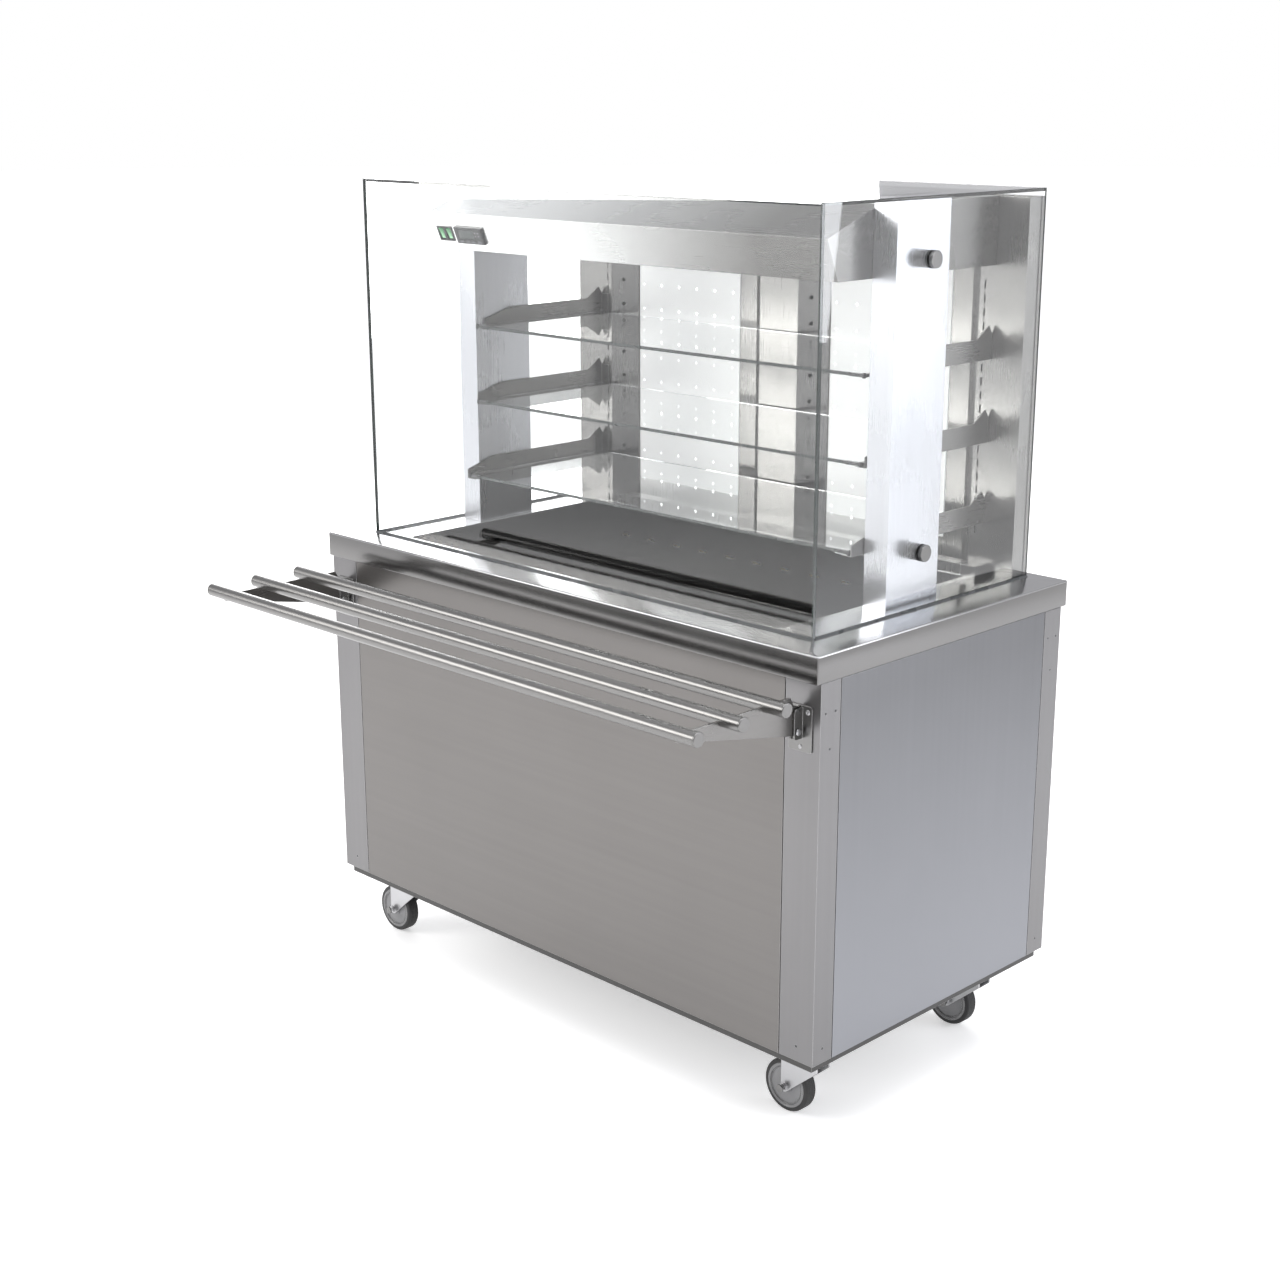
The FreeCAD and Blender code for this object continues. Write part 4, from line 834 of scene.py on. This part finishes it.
@dataclass
class Castor:
    """One swivel castor: grooved tyre, rim ring, axle caps and the race under its plate."""

    corner: str
    wall: float = 8.5
    shoulder: float = 4.5
    groove_depth: float = 0.7
    groove_half: float = 0.55
    grooves: tuple[float, ...] = (-6.5, -2.2, 2.2, 6.5)
    rings: tuple[tuple[float, float], ...] = ((2.2, 0.7), (7.0, 0.5))
    ring_sink: float = 0.2
    cap_r: float = 7.6
    cap_rise: float = 0.9
    cap_root: float = 3.5
    race_r: float = 34.5
    race_back: float = 32.0
    race_drop: float = 4.0

    def tyre_profile(self, radius: float, half: float) -> list[tuple[float, float]]:
        """Tread radius over the width: round shoulders, with a notch at each groove.

        Args:
            radius: the tyre's outer radius.
            half: half its width.

        Returns:
            A closed run of (radius, along) pairs.
        """
        across = np.unique(np.concatenate([np.linspace(-half, half, 41)]
                                          + [g + np.linspace(-1, 1, 5) for g in self.grooves]))
        edge = np.clip(np.abs(across) - (half - self.shoulder), 0, self.shoulder) / self.shoulder
        tread = radius - self.shoulder * (1 - np.sqrt(np.clip(1 - edge ** 2, 0, 1)))
        for groove in self.grooves:
            tread -= self.groove_depth * np.exp(-((across - groove) / self.groove_half) ** 4)
        inner = radius - self.wall + 0.02
        outline = [(inner, -half)] + list(zip(tread, across)) + [(inner, half)]
        return outline + [outline[0]]

    def build(self, maker: Maker) -> None:
        """Dress the CAD pieces and add the new ones."""
        fork, wheel, tyre = (f"castor_{part}_{self.corner}" for part in ("fork", "wheel", "tyre"))
        maker.dress(ZINC, fork)
        maker.dress(WHEEL_PLASTIC, wheel)
        low, high = corners(tyre)
        centre, half = (low + high) / 2, (high - low) / 2
        skin = Skin().add(lathe(self.tyre_profile(half[0], half[1]), Axis.Y, centre, 96))
        maker.piece("tread_" + self.corner, skin, TREAD_RUBBER, wheel, tyre, instead=[tyre])
        rim = half[0] - self.wall
        rings = Skin()
        for side in (-1, 1):
            for inset, thick in self.rings:
                ring = wire(rim - inset, side * (half[1] - self.ring_sink), thick, thick)
                rings.add(lathe(ring, Axis.Y, centre, 72))
        maker.piece("rim_rings_" + self.corner, rings, FITTING_STEEL, wheel, wheel)
        fork_low, fork_high = corners(fork)
        caps = Skin()
        for side, y in ((-1, fork_low[1]), (1, fork_high[1])):
            turn = np.linspace(0, math.pi / 2, 8)
            face = [(self.cap_r * math.cos(t) ** 0.8, side * self.cap_rise * (math.sin(t) - 1)) for t in turn]
            root = -side * self.cap_root
            caps.add(lathe([(0, root), (self.cap_r, root)] + face[:-1] + [(0, 0)], Axis.Y,
                           (centre[0], y, centre[2]), 40))
        maker.piece("axle_caps_" + self.corner, caps, FITTING_STEEL, fork, fork)
        race = lathe(wire(self.race_r, fork_high[2] - self.race_drop, 1.6, 2.2, 17), Axis.Z,
                     (fork_high[0] - self.race_back, centre[1], 0), 64)
        maker.piece("swivel_race_" + self.corner, Skin().add(race), FITTING_STEEL, fork, fork)


@dataclass
class Canopy:
    """Glass panes with their sealed feet and dark edges, posts, standoffs and pads."""

    glass: float = 6.0
    bead: float = 3.5
    band: float = 0.35
    cap_r: float = 15.0
    washer_gap: float = 0.9
    disc_rim: tuple[Point, ...] = ((0, -0.6), (11.2, -0.6), (11.6, -0.1), (12.2, 0.0), (13.0, -0.2),
                                   (13.4, -1.4), (0, -1.4))
    pad_inset: float = 8.0

    def dress(self, maker: Maker) -> None:
        """Clear panes, bright posts and turned standoffs."""
        maker.dress(CLEAR_GLASS, "glass_front", "glass_side_left", "glass_side_right", "glass_top")
        maker.dress(BRIGHT_STEEL, "mid_post_left", "mid_post_right")
        maker.dress(FITTING_STEEL, "glass_standoffs")

    def beads(self, maker: Maker) -> None:
        """Hollow sealant beads in the corners between the panes and the worktop."""
        low, high = corners("glass_front")
        side_low, side_high = corners("glass_side_right")
        z = low[2]
        skin = Skin()
        front = fillet_section((0, -self.bead, 0), (0, 0, self.bead))
        back = fillet_section((0, self.bead, 0), (0, 0, self.bead))
        skin.add(rail((low[0], low[1], z), (high[0], low[1], z), front))
        skin.add(rail((low[0] + self.glass, high[1], z), (high[0] - self.glass, high[1], z), back))
        for side in (-1, 1):
            outer = fillet_section((side * self.bead, 0, 0), (0, 0, self.bead))
            inner = fillet_section((-side * self.bead, 0, 0), (0, 0, self.bead))
            skin.add(rail((side * side_high[0], side_low[1], z), (side * side_high[0], side_high[1], z), outer))
            skin.add(rail((side * side_low[0], side_low[1] + self.bead, z),
                          (side * side_low[0], side_high[1], z), inner))
        maker.piece("glass_foot_beads", skin, SEALANT, "cabinet", "glass_front")

    def strip(self, start: Point, end: Point, across: Point, through: Point) -> Array:
        """A flat band along a pane's edge, given by half its width and half its thickness."""
        a, b = np.asarray(across, float), np.asarray(through, float)
        return rail(start, end, np.array([a + b, a - b, -a - b, -a + b]))

    def edges(self, maker: Maker) -> None:
        """Dark bands just under the panes' polished edges, and the glue lines at the joints."""
        low, high = corners("glass_front")
        side_low, side_high = corners("glass_side_right")
        b, wide = self.band, self.glass / 2 - 0.2
        z0, z1 = low[2] + 0.5, high[2] - 0.5
        skin = Skin()
        y = (low[1] + high[1]) / 2
        skin.add(self.strip((low[0], y, z1 - b), (high[0], y, z1 - b), (0, wide, 0), (0, 0, b / 2)))
        for side in (-1, 1):
            x = side * (side_low[0] + side_high[0]) / 2
            skin.add(self.strip((x, high[1] + 0.6, z1 - b), (x, side_high[1] - 0.5, z1 - b),
                                (wide, 0, 0), (0, 0, b / 2)))
            for back in (side_high[1] - b, high[1] - b):
                skin.add(self.strip((x, back, z0), (x, back, z1 - 1), (wide, 0, 0), (0, b / 2, 0)))
            edge_x = side * (high[0] - b)
            skin.add(self.strip((edge_x, y, z0), (edge_x, y, z1 - 1), (0, wide, 0), (b / 2, 0, 0)))
        maker.piece("glass_edge_bands", skin, EDGE_DARK, "cabinet", "glass_front", flat=True)

    def standoffs(self, maker: Maker) -> None:
        """Rubber washers on both faces of the side panes and a lipped disc on each cap."""
        low, high = corners("glass_standoffs")
        pane_low, pane_high = corners("glass_side_right")
        y = (low[1] + high[1]) / 2
        washers, discs = Skin(), Skin()
        for z in (low[2] + self.cap_r, high[2] - self.cap_r):
            for side in (-1, 1):
                for x in (pane_low[0] - self.washer_gap, pane_high[0] + self.washer_gap):
                    ring = wire(self.cap_r - 0.3, side * x, 0.7, side * 0.8)
                    washers.add(lathe(ring, Axis.X, (0, y, z), 64))
                rim = [(r, side * (high[0] + along)) for r, along in self.disc_rim]
                discs.add(lathe(rim, Axis.X, (0, y, z), 64))
        maker.piece("standoff_washers", washers, GASKET_RUBBER, "cabinet", "glass_standoffs")
        maker.piece("standoff_discs", discs, BRIGHT_STEEL, "cabinet", "glass_standoffs")

    def pads(self, maker: Maker) -> None:
        """Black bonding pads that show through the top pane over the two posts."""
        top = corners("glass_top")[0][2]
        skin = Skin()
        for side in SIDES:
            low, high = corners("mid_post_" + side)
            half = (high - low) / 2 - self.pad_inset
            centre = (low + high) / 2
            skin.add(pillow((centre[0], centre[1], top + 0.8), (half[0], half[1], 0.5), 0.12))
        maker.piece("bonding_pads", skin, GASKET_RUBBER, "cabinet", "glass_top")


@dataclass
class Hood:
    """Lit hood between the posts with two rockers and the temperature controller."""

    chin_drop: float = 71.5
    lean: float = 29.0
    row_drop: float = 44.0
    controller_t: float = 6.0
    rocker_half: tuple[float, float, float] = (7.4, 3.0, 11.2)
    digit: float = 10.5

    def frame(self) -> tuple[Array, Array, Array]:
        """Origin, up and outward directions of the leaning front face on its control row."""
        low, high = corners("hood_shell")
        nose = np.array([0, low[1], low[2] + self.chin_drop])
        up = np.array([0, -self.lean, self.chin_drop])
        up = up / np.linalg.norm(up)
        return nose - up * self.row_drop, up, np.array([0, -up[2], up[1]])

    def on_face(self, grid: Array) -> Array:
        """Carry points drawn about the row, with -Y as outwards, on to the leaning face."""
        origin, up, out = self.frame()
        placed = np.zeros_like(grid)
        placed[..., 0] = grid[..., 0]
        placed += grid[..., 1:2] * -out + grid[..., 2:3] * up
        return placed + origin

    def dress(self, maker: Maker) -> None:
        """Sheet hood, white lamp tray and black control housings."""
        maker.dress(HOOD_STEEL, "hood_shell")
        maker.dress(DIFFUSER, "hood_lamp")
        maker.dress(BLACK_PLASTIC, "switch_housings", "controller")

    def rockers(self, maker: Maker) -> None:
        """Hollowed rocker caps: a rounded block whose face dips along a parabola, tipped one way."""
        for name in ("rocker_cooling", "rocker_light"):
            low, high = corners(name)
            x = (low[0] + high[0]) / 2
            cap = pillow((0, 0, 0), self.rocker_half, 0.2, 20, 36)
            height = cap[..., 2] / self.rocker_half[2]
            outer = np.clip(-cap[..., 1] / self.rocker_half[1], 0, 1)
            cap[..., 1] += outer * (1.6 - 1.9 * height ** 2)
            tip = math.radians(8)
            y = cap[..., 1].copy()
            cap[..., 1] = y * math.cos(tip) - cap[..., 2] * math.sin(tip) + 2.4
            cap[..., 2] = y * math.sin(tip) + cap[..., 2] * math.cos(tip)
            cap[..., 0] += x
            placed = self.on_face(cap)
            middle = tuple(placed.reshape(-1, 3).mean(axis=0))
            # The caps carry painted light and shade from corner to corner.
            finish = PaintedLightPlastic(name + "_green", middle)
            maker.piece(name + "_cap", Skin().add(placed), finish, name, name, instead=[name])

    def bar(self, x: float, z: float, half_x: float, half_z: float, y: float) -> Array:
        """A small raised mark on the face."""
        return self.on_face(pillow((x, y, z), (half_x, 0.16, half_z), 0.3, 8, 16))

    def digit_marks(self, x: float, z: float, lit: str) -> list[Array]:
        """One seven-bar digit.

        Args:
            x: its middle.
            z: its middle.
            lit: letters of the bars that show, from a to g.

        Returns:
            A grid for each bar.
        """
        w, h, y = self.digit * 0.27, self.digit * 0.5, -self.controller_t + 0.9
        spots = {"a": (0, h, 1), "g": (0, 0, 1), "d": (0, -h, 1), "b": (w, h / 2, 0), "c": (w, -h / 2, 0),
                 "f": (-w, h / 2, 0), "e": (-w, -h / 2, 0)}
        marks = []
        for letter in lit:
            dx, dz, level = spots[letter]
            size = (w * 0.75, 0.5) if level else (0.5, h * 0.42)
            marks.append(self.bar(x + dx, z + dz, *size, y))
        return marks

    def controller(self, maker: Maker) -> None:
        """Display glass, digits, status marks and four key caps."""
        low, high = corners("controller")
        y = -self.controller_t
        glass = Skin().add(self.on_face(pillow((low[0] + 33, y + 1.0, 3.0), (22.6, 0.35, 8.8), 0.12)))
        maker.piece("display_window", glass, EDGE_DARK, "cabinet", "controller")
        digits = Skin().add(*self.digit_marks(low[0] + 24, 3, "abcdg"),
                            *self.digit_marks(low[0] + 34, 3, "abcdefg"))
        digits.add(self.bar(low[0] + 29, -2.2, 0.5, 0.5, y + 0.9),
                   self.bar(low[0] + 42, 6.4, 1.2, 0.4, y + 0.9))
        for i in range(4):
            digits.add(self.bar(low[0] + 61 + 4.4 * (i % 2) * 2, 7.5 - 6.5 * (i // 2), 1.3, 1.3, y - 0.05))
        maker.piece("display_digits", digits, DIGIT_GREY, "cabinet", "controller")
        keys = Skin()
        for i in range(4):
            keys.add(self.on_face(pillow((low[0] + 17 + 17 * i, y - 0.5, -11.6), (5.2, 0.8, 2.2), 0.35)))
        maker.piece("display_keys", keys, KEY_PLASTIC, "cabinet", "controller")

    def lamp_ribs(self, maker: Maker) -> None:
        """Shallow prism ribs along the underside of the diffuser."""
        low, high = corners("hood_lamp")
        skin = Skin()
        for y in np.linspace(low[1] + 20, high[1] - 20, 15):
            half = np.array([[0, -4, 0], [0, -2, -0.3], [0, 0, -0.5], [0, 2, -0.3], [0, 4, 0], [0, 0, 0.3]])
            skin.add(rail((low[0] + 16, y, low[2] + 0.1), (high[0] - 16, y, low[2] + 0.1), half))
        maker.piece("lamp_ribs", skin, DIFFUSER, "cabinet", "hood_lamp")


class RearWall:
    """Uprights, door frame, perforated doors and the ledge."""

    def dress(self, maker: Maker) -> None:
        """Steel uprights and painted doors."""
        maker.dress(WALL_STEEL, "upright_left", "upright_right", "upright_centre", "rear_ledge", "door_frame")
        maker.dress(DOOR_PAINT, "rear_door_left", "rear_door_right")

    def pulls(self, maker: Maker) -> None:
        """Rounded grips over the doors' folded pulls."""
        for side in SIDES:
            low, high = corners("rear_door_" + side)
            z = (low[2] + high[2]) / 2
            grip = pillow((high[0] - 8.0, high[1] - 5.2, z), (3.4, 5.0, 63.0), 0.3, 18, 28)
            maker.piece("door_grip_" + side, Skin().add(grip), BLACK_PLASTIC, "rear_door_" + side,
                        "rear_door_" + side)


@dataclass
class Shelves:
    """Glass shelves with dark front edges, clips at their ends and steel brackets."""

    clip: float = 34.0
    clip_half: float = 4.2
    end: float = 2.4

    def build(self, maker: Maker) -> None:
        """Dress and detail each tier."""
        maker.dress(CLIP_CLEAR, "shelf_pads")
        for tier in TIERS:
            maker.dress(CLEAR_GLASS, "shelf_" + tier)
            maker.dress(BRACKET_STEEL, "shelf_brackets_" + tier)
            low, high = corners("shelf_" + tier)
            z, half = (low[2] + high[2]) / 2, (high[2] - low[2]) / 2
            y = low[1] + 0.35
            inner = high[0] - self.clip
            section = np.array([[0, -0.2, -half + 0.3], [0, 0.2, -half + 0.3], [0, 0.2, half - 0.3],
                                [0, -0.2, half - 0.3]])
            edge = Skin().add(rail((-inner, y, z), (inner, y, z), section))
            maker.piece("shelf_edge_" + tier, edge, EDGE_DARK, "cabinet", "shelf_" + tier, flat=True)
            clips, ends = Skin(), Skin()
            for side in (-1, 1):
                x = side * (high[0] - self.clip / 2)
                clips.add(pillow((x, low[1] + 0.4, z), (self.clip / 2, 2.6, self.clip_half), 0.2))
                ends.add(pillow((side * (high[0] - self.end), low[1] + 0.3, z),
                                (self.end, 3.0, self.clip_half + 0.5), 0.25))
            maker.piece("shelf_clips_" + tier, clips, CLIP_CLEAR, "cabinet", "shelf_" + tier)
            maker.piece("clip_ends_" + tier, ends, BLACK_PLASTIC, "cabinet", "shelf_" + tier)


@dataclass
class TraySlide:
    """Three tubes on two folding arms, with end caps, screws and pin heads."""

    tube_r: float = 12.5
    pitch: float = 101.5
    count: int = 3
    cap: float = 3.0
    disc_rim: tuple[Point, ...] = ((0, -0.15), (7.6, -0.1), (8.6, -0.35), (9.4, 0.0), (10.2, -0.05),
                                   (10.8, -1.2), (0, -1.2))
    screw_r: float = 4.6
    plate: float = 2.5
    pin_r: float = 6.0
    pin_rise: float = 1.6
    pin_reach: float = 8.0

    def dress(self, maker: Maker) -> None:
        """Satin tubes, sheet arms and brackets."""
        maker.dress(TUBE_STEEL, "tray_tubes")
        maker.dress(BRACKET_STEEL, "tray_arm_left", "tray_arm_right")
        maker.dress(FITTING_STEEL, "tray_hinge_brackets")

    def caps(self, maker: Maker) -> None:
        """Spun discs let into the tube ends and a fine dark line where each cap begins."""
        low, high = corners("tray_tubes")
        z = (low[2] + high[2]) / 2
        discs, lines = Skin(), Skin()
        for i in range(self.count):
            y = high[1] - self.tube_r - i * self.pitch
            for side in (-1, 1):
                x = high[0] - 0.05
                rim = [(r, side * (x + along)) for r, along in self.disc_rim]
                discs.add(lathe(rim, Axis.X, (0, y, z), 56))
                line = wire(self.tube_r - 0.1, side * (x - self.cap), 0.16, side * 0.3, 9)
                lines.add(lathe(line, Axis.X, (0, y, z), 56))
        maker.piece("tube_end_discs", discs, FITTING_STEEL, "tray_slide", "tray_tubes")
        maker.piece("tube_end_lines", lines, GASKET_RUBBER, "tray_slide", "tray_tubes")

    def screws(self, maker: Maker) -> None:
        """Screws in the hinge plates and rounded heads on the pins."""
        low, high = corners("tray_hinge_brackets")
        y = high[1] - self.plate
        arm_low, arm_high = corners("tray_arm_right")
        pin_x = (arm_low[0] + arm_high[0]) / 2
        skin, heads = Skin(), Skin()
        for side in (-1, 1):
            skin.add(screw_head((side * (high[0] - 9), y, high[2] - 10), Axis.Y, -1, self.screw_r),
                     screw_head((side * (high[0] - 24), y, low[2] + 8), Axis.Y, -1, self.screw_r * 0.8))
            for way in (-1, 1):
                x = side * pin_x + way * self.pin_reach
                head = [(0, -way), (self.pin_r, -way)] + dome(self.pin_r, way * self.pin_rise)
                heads.add(lathe(head, Axis.X, (x, high[1] - 13.5, low[2] + 36.0), 40))
        maker.piece("plate_screws", skin, ZINC, "cabinet", "tray_hinge_brackets")
        maker.piece("pin_heads", heads, ZINC, "cabinet", "tray_hinge_brackets")


@dataclass
class CoolingUnit:
    """Parts inside the body: coil, compressor, condenser, fan, drain and foam."""

    seam_r: float = 79.0
    seam_z: float = 110.0
    can_x: float = 95.0
    wires: int = 9

    def dress(self, maker: Maker) -> None:
        """Plain service finishes."""
        maker.dress(FINS, "evaporator", "condenser")
        maker.dress(SHELL_PAINT, "compressor")
        maker.dress(BLACK_PLASTIC, "condenser_fan")
        maker.dress(BRASS, "drain_valve")
        maker.dress(RED_GRIP, "drain_lever")
        maker.dress(FOAM, "well_insulation")
        maker.dress(ZINC, "castor_plates")

    def guard(self, maker: Maker) -> None:
        """Wire guard in front of the fan: rings of round wire that grow from the hub."""
        x = corners("condenser")[0][0] - 1.2
        fan_low, fan_high = corners("condenser_fan")
        centre = (fan_low + fan_high) / 2
        skin = Skin()
        for radius in np.linspace(28, 126, self.wires):
            skin.add(lathe(wire(radius, 0, 1.1, 1.1, 9), Axis.X, (x, centre[1], centre[2]), 64))
        maker.piece("fan_guard", skin, ZINC, "cabinet", "condenser")

    def seam(self, maker: Maker) -> None:
        """Weld seam round the compressor's can."""
        low, high = corners("compressor")
        centre = (low[0] + self.can_x, (low[1] + high[1]) / 2, low[2] + self.seam_z)
        ring = lathe(wire(self.seam_r, 0, 2.0, 3.0), Axis.Z, centre, 96)
        maker.piece("compressor_seam", Skin().add(ring), SHELL_PAINT, "cabinet", "compressor")


# --- studio -----------------------------------------------------------------------------------


@dataclass
class Lamp:
    """One soft area lamp, given by its place, target, size, power and colour."""

    name: str
    place: tuple[float, float, float]
    target: tuple[float, float, float]
    size: tuple[float, float]
    power: float
    colour: Colour = (1, 1, 1)

    def build(self) -> None:
        """Add the lamp to the scene."""
        data = bpy.data.lights.new(self.name, "AREA")
        data.shape = "RECTANGLE"
        data.size, data.size_y = self.size
        data.energy = self.power
        data.color = self.colour
        lamp = bpy.data.objects.new(self.name, data)
        lamp.location = self.place
        look = Vector(self.target) - Vector(self.place)
        lamp.rotation_euler = look.to_track_quat("-Z", "Y").to_euler()
        bpy.context.scene.collection.objects.link(lamp)


@dataclass
class Studio:
    """Camera, floor, surroundings and lamps."""

    place: tuple[float, float, float] = (2.5922, -2.55375, 1.7822)
    yaw: float = 44.99
    pitch: float = -15.80
    roll: float = -0.11
    lens: float = 55.74
    floor_r: float = 40.0

    def camera(self) -> None:
        """Place the camera: turned about Z by the yaw, tilted by the pitch, then rolled."""
        data = bpy.data.cameras.new("camera")
        data.lens = self.lens
        data.sensor_width = 36.0
        data.clip_end = 200.0
        camera = bpy.data.objects.new("camera", data)
        turn = (Matrix.Rotation(math.radians(self.yaw), 4, "Z")
                @ Matrix.Rotation(math.radians(90 + self.pitch), 4, "X")
                @ Matrix.Rotation(math.radians(self.roll), 4, "Z"))
        camera.matrix_world = Matrix.Translation(self.place) @ turn
        bpy.context.scene.collection.objects.link(camera)
        bpy.context.scene.camera = camera

    def floor(self) -> None:
        """A pale round floor, as a disc of rings."""
        radius = np.array([0, 0.5, 1, 2, 4, 8, 16, self.floor_r]) / MM
        disc = Skin().add(lathe([(r, 0) for r in radius], Axis.Z, (0, 0, -0.05), 64)).build("floor")
        if disc.data.polygons[0].normal.z < 0:
            disc.data.flip_normals()
        material = bpy.data.materials.new("floor_white")
        material.use_nodes = True
        shader = material.node_tree.nodes["Principled BSDF"]
        shader.inputs["Base Color"].default_value = (0.93, 0.93, 0.93, 1)
        shader.inputs["Roughness"].default_value = 0.9
        shader.inputs["Emission Color"].default_value = (1.0, 1.0, 1.0, 1)
        shader.inputs["Emission Strength"].default_value = 0.42
        disc.data.materials.append(material)

    def surroundings(self) -> None:
        """White where it is seen directly; a dimmer room with a bright ceiling in reflections."""
        world = bpy.data.worlds.new("studio")
        bpy.context.scene.world = world
        world.use_nodes = True
        tree = Tree(world.node_tree)
        path = tree.add("ShaderNodeLightPath")
        depth = tree.math("ADD", path.outputs["Diffuse Depth"], path.outputs["Glossy Depth"])
        through = tree.math("MULTIPLY", path.outputs["Is Transmission Ray"], tree.math("LESS_THAN", depth, 0.5))
        seen = tree.math("MAXIMUM", path.outputs["Is Camera Ray"], through)
        way = tree.add("ShaderNodeSeparateXYZ", {0: tree.add("ShaderNodeTexCoord").outputs["Generated"]})
        rise = tree.span(way.outputs["Z"], 0.0, 0.9, 0, 1)
        room = tree.blend(rise, (0.5, 0.5, 0.52), (0.9, 0.9, 0.92))
        colour = tree.blend(seen, room, (1.0, 1.0, 1.0))
        tree.tree.links.new(colour, world.node_tree.nodes["Background"].inputs["Color"])
        bpy.context.scene.view_settings.view_transform = "Standard"

    def lamps(self) -> None:
        """Soft boxes above, at the front left and behind on both sides."""
        for lamp in (Lamp("ceiling_box", (0.3, -0.6, 3.6), (0, 0.1, 0.9), (3.0, 2.4), 70),
                     Lamp("front_box", (-2.6, -3.2, 2.2), (0, 0.2, 1.0), (2.2, 1.8), 70, (1.0, 0.985, 0.96)),
                     Lamp("right_box", (3.6, 2.2, 1.9), (0.2, 0.2, 0.9), (2.0, 2.2), 60, (0.93, 0.95, 1.0)),
                     Lamp("left_back_box", (-4.6, 3.2, 1.9), (0, 0.2, 1.0), (4.4, 2.6), 170)):
            lamp.build()

    def build(self) -> None:
        """Set everything up."""
        self.camera()
        self.floor()
        self.surroundings()
        self.lamps()


def main() -> None:
    """Build each sub-assembly in order."""
    logging.basicConfig(level=logging.INFO, format="%(name)s: %(message)s")
    bpy.ops.wm.read_factory_settings(use_empty=True)
    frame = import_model()
    maker = Maker(frame["nodes"])
    cabinet = LowerCabinet()
    cabinet.dress(maker)
    cabinet.worktop(maker)
    cabinet.plugs(maker)
    for corner in CORNERS:
        Castor(corner).build(maker)
    canopy = Canopy()
    canopy.dress(maker)
    canopy.beads(maker)
    canopy.edges(maker)
    canopy.standoffs(maker)
    canopy.pads(maker)
    hood = Hood()
    hood.dress(maker)
    hood.rockers(maker)
    hood.controller(maker)
    hood.lamp_ribs(maker)
    rear = RearWall()
    rear.dress(maker)
    rear.pulls(maker)
    Shelves().build(maker)
    tray = TraySlide()
    tray.dress(maker)
    tray.caps(maker)
    tray.screws(maker)
    unit = CoolingUnit()
    unit.dress(maker)
    unit.guard(maker)
    unit.seam(maker)
    if maker.left:
        log.warning("no finish yet: %s", sorted(maker.left))
    Studio().build()


if __name__ == "__main__":
    main()
